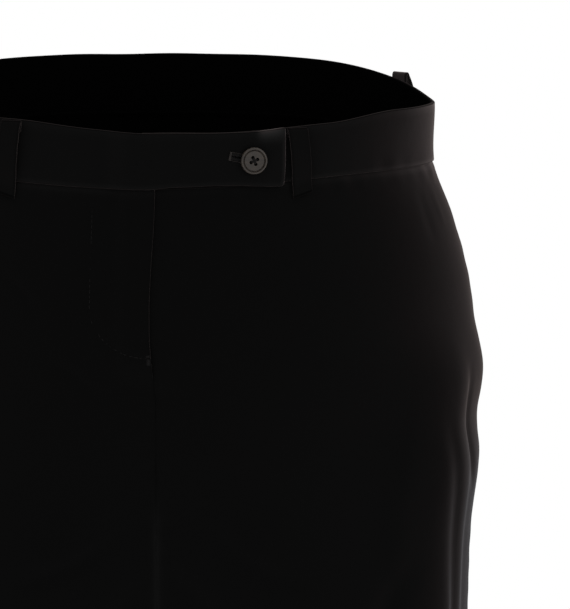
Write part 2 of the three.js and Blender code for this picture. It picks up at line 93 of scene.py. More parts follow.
# Folds that run down a panel: distance from the side seam at the top and the bottom, half width
# and height, below 0 for a trough. Steepness above 0 makes the side away from the side seam the
# steeper one.
Fold = namedtuple("Fold", "panel top bottom start end half_width height steepness")
FOLDS = [
    Fold("front_left", -100, -460, 49, 78, 28, 9.2, -0.42),
    Fold("front_left", -146, -470, 62, 42, 4.6, -2.2, 0),
    Fold("front_left", -146, -440, 44, 41, 7, 2, 0),
    Fold("front_left", -430, -760, 92, 126, 13, 2.6, 0.2),
    Fold("front_right", -108, -450, 53, 74, 27, 8.2, -0.4),
    Fold("front_right", -152, -430, 53, 40, 4.6, -1.8, 0),
    Fold("front_right", -160, -460, 39, 34, 7, 2, 0),
    Fold("front_right", -460, -800, 112, 88, 13, 2.4, -0.2),
    Fold("back_left", -150, -390, 22, 38, 9, 3.6, 0.2),
    Fold("back_left", -196, -560, 96, 112, 14, 3.4, 0.3),
    Fold("back_left", -250, -520, 205, 168, 13, -3, 0),
    Fold("back_left", -560, -860, 148, 118, 14, 2.8, -0.2),
    Fold("back_right", -158, -410, 26, 36, 9, 3.4, 0.2),
    Fold("back_right", -205, -530, 106, 100, 14, 3.2, 0.3),
    Fold("back_right", -244, -540, 212, 160, 13, -2.8, 0),
    Fold("back_right", -540, -880, 128, 142, 14, 2.6, 0.2),
]

# Small creases, each from one place on a panel to another: distance from the side seam and level
Crease = namedtuple("Crease", "panel start end half_width height")
CREASES = [
    Crease("front_left", (37, -134), (23, -204), 4, -1.5),
    Crease("front_left", (14, -20), (17, -30), 2.4, -0.6),
    Crease("front_left", (27, -24), (30, -52), 2.2, 0.35),
    Crease("front_left", (42, -26), (45, -60), 3.4, -0.3),
    Crease("front_left", (84, -160), (92, -260), 10, 0.7),
    Crease("front_left", (88, -240), (120, -330), 8, -1.4),
    Crease("front_left", (206, -215), (150, -250), 5, -0.9),
    Crease("front_left", (222, -240), (165, -300), 7, -1.6),
    Crease("front_left", (240, -268), (176, -352), 8, 1.5),
    Crease("front_left", (30, -560), (96, -604), 8, -1.6),
    Crease("front_left", (214, -590), (150, -618), 7, -1.2),
    Crease("front_left", (60, -930), (150, -972), 9, -1.5),
    Crease("front_left", (40, -986), (128, -1014), 8, -1.2),
    Crease("front_right", (35, -140), (24, -206), 4, -1.4),
    Crease("front_right", (137, -70), (161, -88), 2.6, -0.6),
    Crease("front_right", (174, -119), (207, -139), 3, -0.5),
    Crease("front_right", (66, -160), (72, -270), 9, 0.8),
    Crease("front_right", (96, -250), (118, -346), 8, -1.3),
    Crease("front_right", (208, -222), (156, -246), 5, -0.9),
    Crease("front_right", (226, -246), (160, -312), 7, -1.5),
    Crease("front_right", (238, -276), (182, -340), 8, 1.3),
    Crease("front_right", (36, -574), (110, -606), 8, -1.5),
    Crease("front_right", (220, -600), (158, -632), 7, -1.3),
    Crease("front_right", (72, -944), (144, -966), 9, -1.4),
    Crease("front_right", (36, -978), (118, -1008), 8, -1.3),
    Crease("back_left", (60, -178), (130, -212), 8, -1.2),
    Crease("back_left", (226, -232), (140, -262), 6, -2.2),
    Crease("back_left", (240, -256), (132, -296), 8, 2),
    Crease("back_left", (246, -292), (150, -346), 8, -2),
    Crease("back_left", (40, -560), (150, -586), 8, -2.2),
    Crease("back_left", (214, -584), (96, -616), 8, 1.8),
    Crease("back_left", (52, -628), (168, -650), 8, -1.9),
    Crease("back_left", (200, -664), (120, -700), 9, -1.2),
    Crease("back_left", (66, -940), (170, -976), 9, -1.6),
    Crease("back_right", (66, -186), (138, -206), 8, -1.1),
    Crease("back_right", (230, -238), (150, -256), 6, -2),
    Crease("back_right", (236, -262), (140, -306), 8, 1.9),
    Crease("back_right", (244, -300), (142, -338), 8, -1.9),
    Crease("back_right", (48, -572), (146, -590), 8, -2.1),
    Crease("back_right", (208, -594), (104, -612), 8, 1.7),
    Crease("back_right", (60, -634), (160, -660), 8, -1.8),
    Crease("back_right", (190, -678), (112, -702), 9, -1.1),
    Crease("back_right", (84, -950), (166, -970), 9, -1.5),
]

# Fly: the right front laps over a strip of the left front, down to the end of the opening, and
# the opening bows a little to the right
FLY_END = -116
FLY_LAP = 12
FLY_RAMP = 12
FLY_BOW = -3.4
FLY_BOW_TOP = (BAND_BOTTOM, -90)
FLY_BOW_BOTTOM = (-150, -100)
FLY_BOW_REACH = 45
FLY_EDGE_RADIUS = 0.7
SEAM_UNDER_BAND = 1.4
FLY_STITCH_IN = 35
FLY_STITCH_TURN = -88
FLY_STITCH_SPACING = 3.1
FLY_STITCH_LENGTH = 2.6
FLY_STITCH_THICKNESS = 0.34

# Tab: where it starts to lie over the left front, how its end curls and droops, how its lower edge
# lifts before that and how its top edge rolls back beside the button; the painted highlights on its
# end edge and its rolled top, and the painted shade on the left band's lower edge under its end
TAB_END = 72.3
TAB_RAMP_START = -30
TAB_RAMP_END = -12
TAB_CORNER = 3
TAB_CURL_START = 57
TAB_CURL_RISE = 0.6
TAB_CURL_OUT = 2
TAB_DROOP_START = 30
TAB_DROOP = 2
TAB_LIFT = 1.3
TAB_LIFT_START = (-6, 12)
TAB_LIFT_END = (TAB_END, 40)
TAB_ROLL = 3
TAB_ROLL_AT = 65
TAB_ROLL_REACH = 6.5
TAB_ROLL_FROM = 0.84
TAB_ROLL_GLOW = 2.6
TAB_EDGE = 2.6
TAB_EDGE_ROLL = 0.95
TAB_EDGE_GLOW = 0.6
TAB_SHADE = -0.6
TAB_OUT = BAND_PROUD + BAND_WALL + LAP_GAP
BAND_UNDERLAP = 8

# The band's folds and ends are rounded and its face is padded out a little. Its face is painted
# brighter than the panels as painted sheen, with painted highlights along its top and bottom edges
BAND_FOLD = 0.7
BAND_PILLOW = 0.35
BAND_END_ROUND = 0.8
BAND_GLOW = 1.36
BAND_TOP_PAINTED_HIGHLIGHT = 0.35
BAND_BOTTOM_PAINTED_HIGHLIGHT = 0.5

# Uneven waves by height and length: the band's top edge in and out and up and down, the pucker
# over its seam, and the puckers of a panel's seams
Wave = namedtuple("Wave", "height length")
BAND_TOP_WAVE = Wave(0.3, 41)
BAND_RISE_WAVE = Wave(0.25, 53)
BAND_SEAM_WAVE = Wave(0.22, 16)
SIDE_PUCKER_LENGTH = 17
CENTRE_PUCKER_LENGTH = 15
WAIST_PUCKER_LENGTH = 13

# Button and buttonhole
BUTTON_X = 54.1
BUTTON_Z = -1.1
BUTTON_RADIUS = 7.6
BUTTON_THICKNESS = 3
BUTTON_LIFT = 0.5
BUTTON_HOLE_RADIUS = 1
BUTTON_HOLE_SPACING = 2.8
BUTTON_TURN = -0.35
SLIT_LENGTH = 12.8
SLIT_TURN = -0.18
SLIT_EYE_RADIUS = 1.85
SATIN_SPACING = 0.52
KNOT_SPACING = 0.48

# Belt loops: a little painted sheen on their faces, painted shade over the sheen of their edges and
# the front loops' ends, and much more painted sheen on the one at the back left
LOOP_WIDTH = 11.3
LOOP_WALL = 1.4
LOOP_BEVEL = 0.35
LOOP_GLOW = 1.1
LOOP_EDGE_GLOW = 0.8
LOOP_END_GLOW = 0.35
BACK_LEFT_LOOP_PAINTED_GLOW = 4.4
BACK_LEFT_LOOP_EDGE_PAINTED_GLOW = 2

# Distance from the centre plane, slant between top and bottom, reach above and below the band and
# how far the strip bows out from it
Loop = namedtuple("Loop", "name side back x slant above below bow")
LOOPS = [
    Loop("loop_front_left", 1, False, 80.6, 3.8, -0.4, 8.4, 2.6),
    Loop("loop_front_right", -1, False, 81, 4.6, -0.2, 8, 2.6),
    Loop("loop_back_left", 1, True, 143, 1, 4, 7, 5.4),
    Loop("loop_back_right", -1, True, 142, 1, 3.6, 7.4, 5),
    Loop("loop_back_centre", 1, True, 0, 0, -0.2, 7, 2.6),
]

# Grids of the fine shells
PANEL_COLUMNS = 104
PANEL_ROWS_HIP = 120
PANEL_ROWS_CROTCH = 40
PANEL_ROWS_LEG = 170
LEG_SPREAD = 1.2
CURVE_STEPS = 200

# What is strongest on an edge and fades out beside it: the amount there and how far it reaches
Fade = namedtuple("Fade", "amount reach")

# Relief along the edges of a panel, below 0 for a groove
SIDE_ROLL = Fade(-0.5, 1.2)
SIDE_PUCKER = Fade(0.28, 7)
FRONT_SEAM = Fade(-0.08, 0.7)
BACK_SEAM = Fade(-0.2, 0.7)
CENTRE_PUCKER = Fade(0.3, 6)
CENTRE_RIDGE = Fade(1.1, 3.4)
WAIST_ROLL = Fade(-0.9, 1.8)
WAIST_PUCKER = Fade(0.3, 5)
HEM_ROLL = Fade(-0.5, 1.2)
HEM_STITCHING = Fade(-0.3, 2.5)
STITCH_GROOVE = Fade(-0.55, 0.9)

# Changes of the pile's glow along the edges of a panel: below 0 where a seam parts the pile; painted
# light under the band that lifts the shade the band casts; painted sheen at the hips and along the
# centre ridge; and painted shade over the sheen beside the side seam low down
WAIST_PAINTED_LIGHT = Fade(1, 3)
HIP_PAINTED_SHEEN = Fade(0.3, 12)
HIP_PAINTED_SHEEN_WIDTH = 60
SIDE_PARTED = Fade(-0.6, 0.9)
CENTRE_PARTED = Fade(-0.4, 0.9)
FLY_PARTED = Fade(-0.3, 0.9)
FRONT_PARTED = Fade(-0.12, 0.9)
RIDGE_PAINTED_SHEEN = Fade(1, 1.7)
SIDE_PAINTED_SHADE = Fade(-0.35, 18)

Place = namedtuple("Place", "name side back")
LEFT_FRONT = Place("front_left", 1, False)
RIGHT_FRONT = Place("front_right", -1, False)
LEFT_BACK = Place("back_left", 1, True)
RIGHT_BACK = Place("back_right", -1, True)
PANELS = [LEFT_FRONT, RIGHT_FRONT, LEFT_BACK, RIGHT_BACK]


# Materials

def linear(hex_colour, alpha=1.0):
    """The linear colour of an sRGB hex value such as "0a0909"."""
    channels = [int(hex_colour[i:i + 2], 16) / 255 for i in (0, 2, 4)]
    values = [c / 12.92 if c <= 0.04045 else ((c + 0.055) / 1.055) ** 2.4 for c in channels]
    return (*values, alpha)


def add_node(tree, kind, settings=None, inputs=None, links=None):
    """Adds a node with its settings, input values, and links as {input: (node, output)}."""
    node = tree.nodes.new(kind)
    for key, value in (settings or {}).items():
        setattr(node, key, value)
    for key, value in (inputs or {}).items():
        node.inputs[key].default_value = value
    for key, (source, output) in (links or {}).items():
        tree.links.new(source.outputs[output], node.inputs[key])
    return node


def new_material(name):
    material = bpy.data.materials.new(name)
    material.use_nodes = True
    material.node_tree.nodes.clear()
    return material, material.node_tree


def finish_material(material, tree, shader):
    add_node(tree, "ShaderNodeOutputMaterial", links={"Surface": (shader, 0)})
    return material


# Painted sheen: the pile's base colour by how far it is turned from the eye, (1 - cosine, tone),
# which paints a glow towards its edges on top of the Principled sheen
PILE_GLOW = [(0.0, "080808"), (0.11, "0a0a0a"), (0.2, "0c0b0b"), (0.3, "110f0f"),
             (0.42, "181616"), (0.55, "1e1b1b"), (0.72, "1f1c1c"), (1.0, "0c0b0b")]
SHEEN_WEIGHT = 0.16


def make_velvet():
    """Cotton velvet: upright cut pile that swallows light face on and glows softly where it is
    seen edge on, with shallow drifts where the pile leans. The glow is the Principled sheen with a
    painted sheen in the base colour. The glow attribute scales both: it drops where a fold or seam
    parts the pile, which also paints shade over their sheen, and above 1 it paints highlights,
    sheen and light that lifts shade."""
    material, tree = new_material("cotton_velvet_pile")
    place = add_node(tree, "ShaderNodeTexCoord")
    # The pile is really 0.2 mm; grains of 0.6 mm are the finest that show
    pile = add_node(tree, "ShaderNodeTexNoise", inputs={"Scale": 1 / 0.0006, "Detail": 2.0},
                    links={"Vector": (place, "Object")})
    lean = add_node(tree, "ShaderNodeTexNoise",
                    inputs={"Scale": 1 / 0.028, "Detail": 4.0, "Roughness": 0.62},
                    links={"Vector": (place, "Object")})
    soft = add_node(tree, "ShaderNodeBump", inputs={"Strength": 0.3, "Distance": 0.0008},
                    links={"Height": (lean, "Fac")})
    grain = add_node(tree, "ShaderNodeBump", inputs={"Strength": 0.35, "Distance": 0.0002},
                     links={"Height": (pile, "Fac"), "Normal": (soft, 0)})
    facing = add_node(tree, "ShaderNodeLayerWeight", inputs={"Blend": 0.5}, links={"Normal": (grain, 0)})
    tone = add_node(tree, "ShaderNodeValToRGB", links={"Fac": (facing, "Facing")})
    ramp = tone.color_ramp
    ramp.interpolation = "B_SPLINE"
    while len(ramp.elements) < len(PILE_GLOW):
        ramp.elements.new(0.5)
    for element, (position, colour) in zip(ramp.elements, PILE_GLOW):
        element.position = position
        element.color = linear(colour)
    # Painted light: the glow attribute scales the painted sheen of the base colour and the sheen weight
    glow = add_node(tree, "ShaderNodeAttribute", {"attribute_name": "glow"})
    colour = add_node(tree, "ShaderNodeMix", {"data_type": "RGBA", "clamp_factor": False},
                      {6: linear("040404")}, {0: (glow, "Fac"), 7: (tone, "Color")})
    sheen = add_node(tree, "ShaderNodeMath", {"operation": "MULTIPLY"}, {1: SHEEN_WEIGHT},
                     {0: (glow, "Fac")})
    # Painted light colour: the sheen tint is warm at the hips and cooler below, as if more of the light
    # there came off a cooler floor
    height = add_node(tree, "ShaderNodeSeparateXYZ", links={0: (place, "Object")})
    low = add_node(tree, "ShaderNodeMapRange",
                   inputs={"From Min": -0.15, "From Max": -0.21, "To Min": 0.0, "To Max": 1.0},
                   links={"Value": (height, "Z")})
    tint = add_node(tree, "ShaderNodeMix", {"data_type": "RGBA"},
                    {6: linear("ffece8"), 7: linear("fbf9ff")}, {0: (low, 0)})
    shader = add_node(
        tree, "ShaderNodeBsdfPrincipled",
        inputs={"Roughness": 1.0, "Specular IOR Level": 0.0, "Sheen Roughness": 0.3},
        links={"Base Color": (colour, 2), "Normal": (grain, 0), "Sheen Weight": (sheen, 0),
               "Sheen Tint": (tint, 2)})
    return finish_material(material, tree, shader)


def make_velvet_back():
    """The velvet's woven ground seen from inside: matte twill, with no pile and so no glow."""
    material, tree = new_material("velvet_ground_twill")
    cloth = add_node(tree, "ShaderNodeUVMap", settings={"uv_map": "cloth"})
    turned = add_node(tree, "ShaderNodeMapping", inputs={"Rotation": (0, 0, math.radians(58))},
                      links={"Vector": (cloth, 0)})
    # One wave for each 1.2 mm twill line
    twill = add_node(tree, "ShaderNodeTexWave",
                     inputs={"Scale": math.pi / 10 / 0.0012, "Distortion": 0.4},
                     links={"Vector": (turned, 0)})
    bump = add_node(tree, "ShaderNodeBump", inputs={"Strength": 0.3, "Distance": 0.0002},
                    links={"Height": (twill, "Fac")})
    tone = add_node(tree, "ShaderNodeValToRGB", links={"Fac": (twill, "Fac")})
    tone.color_ramp.elements[0].color = linear("020202")
    tone.color_ramp.elements[1].color = linear("040404")
    shader = add_node(tree, "ShaderNodeBsdfPrincipled",
                      inputs={"Roughness": 1.0, "Specular IOR Level": 0.0},
                      links={"Base Color": (tone, "Color"), "Normal": (bump, 0)})
    return finish_material(material, tree, shader)


def make_horn():
    """Smoke-brown horn-look polyester, turned and tumbled: cloudy streaks under a soft gloss."""
    material, tree = new_material("smoke_horn_resin")
    place = add_node(tree, "ShaderNodeTexCoord")
    stretched = add_node(tree, "ShaderNodeMapping",
                         inputs={"Scale": (1.0, 1.0, 3.2), "Rotation": (0, 0.4, 0)},
                         links={"Vector": (place, "Object")})
    cloud = add_node(tree, "ShaderNodeTexNoise",
                     inputs={"Scale": 1 / 0.006, "Detail": 5.0, "Roughness": 0.6},
                     links={"Vector": (stretched, 0)})
    tone = add_node(tree, "ShaderNodeValToRGB", links={"Fac": (cloud, "Fac")})
    tone.color_ramp.elements[0].position = 0.35
    tone.color_ramp.elements[0].color = linear("1a1511")
    tone.color_ramp.elements[1].position = 0.7
    tone.color_ramp.elements[1].color = linear("29221b")
    wear = add_node(tree, "ShaderNodeBump", inputs={"Strength": 0.08, "Distance": 0.0001},
                    links={"Height": (cloud, "Fac")})
    shader = add_node(tree, "ShaderNodeBsdfPrincipled",
                      inputs={"Roughness": 0.42, "Specular IOR Level": 0.35},
                      links={"Base Color": (tone, "Color"), "Normal": (wear, 0)})
    return finish_material(material, tree, shader)


def make_thread(name, dark, light, roughness):
    """Black spun polyester sewing thread: matte, with its twist showing as a fine ripple."""
    material, tree = new_material(name)
    place = add_node(tree, "ShaderNodeTexCoord")
    fibre = add_node(tree, "ShaderNodeTexNoise", inputs={"Scale": 1 / 0.0004, "Detail": 3.0},
                     links={"Vector": (place, "Object")})
    tone = add_node(tree, "ShaderNodeValToRGB", links={"Fac": (fibre, "Fac")})
    tone.color_ramp.elements[0].color = linear(dark)
    tone.color_ramp.elements[1].color = linear(light)
    bump = add_node(tree, "ShaderNodeBump", inputs={"Strength": 0.4, "Distance": 0.0001},
                    links={"Height": (fibre, "Fac")})
    shader = add_node(tree, "ShaderNodeBsdfPrincipled",
                      inputs={"Roughness": roughness, "Specular IOR Level": 0.1},
                      links={"Base Color": (tone, "Color"), "Normal": (bump, 0)})
    return finish_material(material, tree, shader)


def make_studio_white():
    """Seamless white studio paper."""
    material, tree = new_material("seamless_studio_paper")
    shader = add_node(tree, "ShaderNodeBsdfPrincipled",
                      inputs={"Base Color": linear("fbfbfb"), "Roughness": 0.9,
                              "Specular IOR Level": 0.1, "Emission Color": (1, 1, 1, 1),
                              "Emission Strength": 0.35})
    return finish_material(material, tree, shader)


# The garment's surface

def smooth(start, end, value):
    t = np.clip((np.asarray(value, float) - start) / (end - start), 0, 1)
    return t * t * (3 - 2 * t)


def faded(fade, distance):
    return fade.amount * np.exp(-(distance / fade.reach) ** 2)


def section_value(column, z):
    """Reads one column of the section table at a level, with a smooth curve through its rows."""
    last = len(SECTIONS) - 1
    i = 0
    while i < last - 1 and z < SECTIONS[i + 1].z:
        i += 1
    above, below = SECTIONS[i], SECTIONS[i + 1]

    def slope_at(k):
        a, b = SECTIONS[max(0, k - 1)], SECTIONS[min(last, k + 1)]
        return (getattr(b, column) - getattr(a, column)) / (b.z - a.z)

    start, end = getattr(above, column), getattr(below, column)
    span = below.z - above.z
    t = min(1.0, max(0.0, (z - above.z) / span))
    rise = t * t * (3 - 2 * t)
    start_pull = t * (1 - t) ** 2 * span * slope_at(i)
    end_pull = t * t * (1 - t) * span * slope_at(i + 1)
    return start + rise * (end - start) + start_pull - end_pull


section_cache = {}
Section = namedtuple("Section", "x y nx ny distance depth length lift")


def section_curve(z, back):
    """The section of one half at a level, from the side seam inwards: a quarter oval to the
    deepest part, a flat stretch that bends back over the crotch curve, and a closed leg below."""
    key = (round(z, 4), back)
    if key in section_cache:
        return section_cache[key]
    half_width = section_value("half_width", z)
    depth = section_value("back" if back else "front", z)
    deepest = max(0.0, section_value("deepest", z))
    inseam = max(0.0, section_value("inseam", z))
    above_crotch = min(1.0, max(0.0, (z - CROTCH) / CROTCH_CURVE))
    parting = 1 - above_crotch ** CROTCH_ROUNDING
    steps = np.linspace(0, 1, CURVE_STEPS + 1)
    turn = steps * math.pi / 2
    radius = half_width - deepest
    x = deepest + radius * np.cos(turn)
    y = depth * np.sin(turn)
    nx = depth * np.cos(turn)
    ny = radius * np.sin(turn)
    span = deepest - inseam
    if span > 0.01:
        turn = math.asin(parting) * steps[1:]
        reach = np.sin(turn) / parting if parting > 0.001 else steps[1:]
        x = np.append(x, deepest - span * reach)
        y = np.append(y, depth * np.cos(turn))
        nx = np.append(nx, -depth * np.sin(turn) * parting)
        ny = np.append(ny, span * np.cos(turn))
    size = np.hypot(nx, ny)
    distance = np.append(0, np.cumsum(np.hypot(np.diff(x), np.diff(y))))
    lift = section_value("back_lift" if back else "front_lift", z)
    curve = Section(x, y, nx / size, ny / size, distance, depth, distance[-1], lift)
    section_cache[key] = curve
    return curve


def surface(place, z, distance, out):
    """Points at one level, at distances along the section, moved out from the surface, as rows of
    x, y, z. Past the centre plane the section goes on as its own mirror image."""
    curve = section_curve(z, place.back)
    distance = np.asarray(distance, float)
    crossed = distance > curve.length
    wanted = np.clip(np.where(crossed, 2 * curve.length - distance, distance), 0, None)
    along, depth, along_normal, depth_normal = (
        np.interp(wanted, curve.distance, values) for values in (curve.x, curve.y, curve.nx, curve.ny))
    side = np.where(crossed, -place.side, place.side)
    x = side * (along + along_normal * out)
    y = depth + depth_normal * out
    share = np.clip(depth / curve.depth, 0, 1)
    if place.back:
        lift = curve.lift * smooth(0, 1, share)
    else:
        height = min(1.0, max(0.0, (z - BAND_BOTTOM) / (BAND_TOP - BAND_BOTTOM)))
        at_x = side * along
        sagging = smooth(*TOP_SAG_FROM, at_x) * smooth(*TOP_SAG_TO, at_x)
        lift = curve.lift * share ** (FRONT_BEND + (TOP_BEND - FRONT_BEND) * height)
        lift = lift - TOP_SAG * height * sagging
    if not place.back:
        bow = FLY_BOW * smooth(*FLY_BOW_TOP, z) * smooth(*FLY_BOW_BOTTOM, z)
        x = x + bow * np.exp(-(x / FLY_BOW_REACH) ** 2)
    return np.stack([x, y if place.back else -y, z + lift + 0 * x], axis=-1)


def panel_surface(place, z, distance, outs):
    """Rows of points of a panel at one level, each moved out square to the surface, also where
    that slopes, as it does round the crotch."""
    share = distance / section_curve(z, place.back).length
    above, below = (surface(place, z + step, share * section_curve(z + step, place.back).length, 0)
                    for step in (1, -1))
    base = surface(place, z, distance, 0)
    level = surface(place, z, distance, 1) - base
    across = np.stack([level[:, 1], -level[:, 0], 0 * level[:, 0]], axis=-1)
    outward = np.cross(above - below, across)
    outward /= np.linalg.norm(outward, axis=1, keepdims=True)
    return [base + outward * np.reshape(out, (-1, 1)) for out in outs]


def distance_at_x(place, z, x):
    """The distance along the section where it is x from the centre plane, past it if x < 0."""
    curve = section_curve(z, place.back)
    distance = float(np.interp(-abs(x), -curve.x, curve.distance))
    return 2 * curve.length - distance if x < 0 else distance


def ripple(seed, distance, length):
    """An uneven wave along a seam, from -1 to 1, with humps about length apart."""
    phase = seed * 2.4
    wave = np.sin(distance * 2 * math.pi / length + phase)
    wave += 0.7 * np.sin(distance * 2 * math.pi / (length * 1.618) + 2 * phase)
    return wave * (0.6 + 0.4 * np.sin(distance * 2 * math.pi / (length * 5.3) + phase)) / 1.7


def fold_height(name, z, distance):
    height = np.zeros_like(distance)
    for fold in FOLDS:
        if fold.panel != name or not fold.bottom < z < fold.top:
            continue
        along = (fold.top - z) / (fold.top - fold.bottom)
        middle = fold.start + (fold.end - fold.start) * along
        middle += 1.6 * math.sin(z / 31 + fold.top)
        side = np.sign(distance - middle)
        across = (distance - middle) / (fold.half_width * (1 - side * fold.steepness))
        fade = float(smooth(0, 0.22, along) * smooth(1, 0.45, along))
        height += fold.height * fade * np.exp(-across ** 2)
    return height


def crease_height(name, z, distance):
    height = np.zeros_like(distance)
    for crease in CREASES:
        if crease.panel != name:
            continue
        start, end = np.array(crease.start, float), np.array(crease.end, float)
        run = end - start
        length = math.hypot(*run)
        if abs(z - (start[1] + end[1]) / 2) > abs(run[1]) / 2 + 3 * crease.half_width:
            continue
        along = ((distance - start[0]) * run[0] + (z - start[1]) * run[1]) / length ** 2
        bend = 0.06 * length * np.sin(math.pi * np.clip(along, 0, 1))
        off = ((distance - start[0]) * run[1] - (z - start[1]) * run[0]) / length + bend
        beyond = np.maximum(0, np.abs(along - 0.5) - 0.5) * length / crease.half_width
        fade = np.exp(-beyond ** 2) * smooth(-0.15, 0.3, along) * smooth(1.15, 0.7, along)
        height += crease.height * fade * np.exp(-(off / crease.half_width) ** 2)
    return height


def drift_height(place, z, distance):
    """The slow unevenness of cloth that hangs free."""
    seed = place.side * 1.3 + (2.1 if place.back else 0)
    wave = np.sin(distance / 23 + z / 61 + seed) * np.sin(z / 37 - distance / 71 + 2 * seed)
    return 0.35 * wave


def fly_stand_off(z, to_centre):
    along = smooth(FLY_END - 18, FLY_END, z)
    return (CLOTH_WALL + LAP_GAP) * along * smooth(2 * FLY_RAMP, FLY_RAMP, to_centre)


def fly_lap(z):
    return FLY_LAP * float(smooth(FLY_END + 4, FLY_END + 16, z))


def fly_stitch_path():
    """The fly's topstitching on the right front as (to_centre, level) points: straight down beside
    the fly and round to the bar tack at its end."""
    straight = [(FLY_STITCH_IN, z) for z in np.arange(BAND_BOTTOM - 5, FLY_STITCH_TURN, -1.5)]
    drop = FLY_STITCH_TURN - FLY_END
    turns = np.linspace(0, math.pi / 2, 44)
    curve = [(FLY_STITCH_IN * math.cos(t) ** 0.9, FLY_STITCH_TURN - drop * math.sin(t) ** 1.15)
             for t in turns]
    return np.array(straight + curve)


FLY_STITCHES = fly_stitch_path()


def stitch_groove(z, to_centre):
    """The line that the fly's topstitching presses into the pile."""
    near = np.full_like(to_centre, 99.0)
    for point in FLY_STITCHES:
        if abs(point[1] - z) < 3:
            near = np.minimum(near, np.hypot(to_centre - point[0], z - point[1]))
    return faded(STITCH_GROOVE, near)


def panel_height(place, z, distance):
    """How far a panel stands out from the plain surface: folds and creases, calmed towards its
    sewn edges, and the rolls and puckers of its seams."""
    length = section_curve(z, place.back).length
    to_centre = length - distance
    height = fold_height(place.name, z, distance) + crease_height(place.name, z, distance)
    height += drift_height(place, z, distance)
    calm = smooth(BAND_BOTTOM, BAND_BOTTOM - 30, z)
    height *= calm * smooth(0, 9, distance) * smooth(-FLY_LAP, 12, to_centre)
    seed = place.side + (0.5 if place.back else 0)
    height += faded(SIDE_ROLL, distance)
    height += faded(SIDE_PUCKER, distance) * ripple(seed, -z, SIDE_PUCKER_LENGTH)
    lapped = place is LEFT_FRONT and z > FLY_END
    fly_edge = place is RIGHT_FRONT and z > FLY_END
    if fly_edge:
        into = np.clip(1 - to_centre / FLY_EDGE_RADIUS, 0, 1)
        height -= FLY_EDGE_RADIUS * (1 - np.sqrt(1 - into ** 2))
    elif not lapped:
        height += faded(BACK_SEAM if place.back else FRONT_SEAM, to_centre)
    if not lapped:
        height += faded(CENTRE_PUCKER, to_centre) * ripple(seed + 0.3, -z, CENTRE_PUCKER_LENGTH)
        height += faded(CENTRE_RIDGE, to_centre) * smooth(-175, -215, z)
    if place is RIGHT_FRONT:
        height += fly_stand_off(z, to_centre) + stitch_groove(z, to_centre)
    from_band = max(0.0, BAND_BOTTOM - z)
    height += faded(WAIST_ROLL, from_band)
    height += faded(WAIST_PUCKER, from_band - 4) * ripple(seed + 1.1, distance, WAIST_PUCKER_LENGTH)
    from_hem = z - HEM
    height += faded(HEM_ROLL, from_hem) + faded(HEM_STITCHING, from_hem - HEM_TURN)
    return height


# Meshes

def make_object(name, points, faces, slots, face_slots=None, uvs=None, sharp=50, glow=None):
    """An object from points in mm. Its faces are turned outwards by the sign of the volume."""
    points = np.asarray(points, float) * MM
    mesh = bpy.data.meshes.new(name)
    mesh.from_pydata(points.tolist(), [], [tuple(int(i) for i in face) for face in faces])
    mesh.calc_loop_triangles()
    corners = np.empty(len(mesh.loop_triangles) * 3, dtype=np.int32)
    mesh.loop_triangles.foreach_get("vertices", corners)
    a, b, c = (points[corners[k::3]] for k in range(3))
    if np.einsum("ij,ij->i", a, np.cross(b, c)).sum() < 0:
        mesh.flip_normals()
    for material in slots:
        mesh.materials.append(material)
    if face_slots is not None:
        mesh.polygons.foreach_set("material_index", np.asarray(face_slots, dtype=np.int32))
    if uvs is not None:
        layer = mesh.uv_layers.new(name="cloth")
        vertex = np.empty(len(mesh.loops), dtype=np.int32)
        mesh.loops.foreach_get("vertex_index", vertex)
        layer.data.foreach_set("uv", (np.asarray(uvs, float) * MM)[vertex].ravel())
    if glow is not None:
        pile = mesh.attributes.new("glow", "FLOAT", "POINT")
        pile.data.foreach_set("value", np.asarray(glow, dtype=np.float32).ravel())
    mesh.shade_smooth()
    mesh.set_sharp_from_angle(angle=math.radians(sharp))
    mesh.update()
    piece = bpy.data.objects.new(name, mesh)
    scene.collection.objects.link(piece)
    return piece


def grid_faces(rows, columns, first=0, wrap=False):
    """Quads of a grid of points, rows by columns, whose columns may close on themselves."""
    r = np.arange(rows - 1)[:, None]
    c = np.arange(columns if wrap else columns - 1)[None, :]
    after = (c + 1) % columns
    quads = [r * columns + c, (r + 1) * columns + c, (r + 1) * columns + after, r * columns + after]
    return np.stack([q + first + 0 * c for q in quads], axis=-1).reshape(-1, 4)


def tube_faces(rows, count, first=0):
    """Faces of a tube of rings of points, closed by one face at each end."""
    start, end = (list(range(at, at + count)) for at in (first, first + (rows - 1) * count))
    return [*grid_faces(rows, count, first, wrap=True).tolist(), start[::-1], end]


def wall_faces(rows, columns):
    """Faces of a closed wall between an outer and an inner grid of points, and which are inner."""
    count = rows * columns
    outer = grid_faces(rows, columns)
    inner = grid_faces(rows, columns, count)[:, ::-1]
    rim = np.concatenate([
        np.arange(0, columns),
        np.arange(1, rows) * columns + columns - 1,
        (rows - 1) * columns + np.arange(columns - 2, -1, -1),
        np.arange(rows - 2, 0, -1) * columns,
    ])
    after = np.roll(rim, -1)
    edge = np.stack([rim, after, after + count, rim + count], axis=-1)
    slots = np.concatenate([np.zeros(len(outer)), np.ones(len(inner)), np.zeros(len(edge))])
    return np.concatenate([outer, inner, edge]), slots


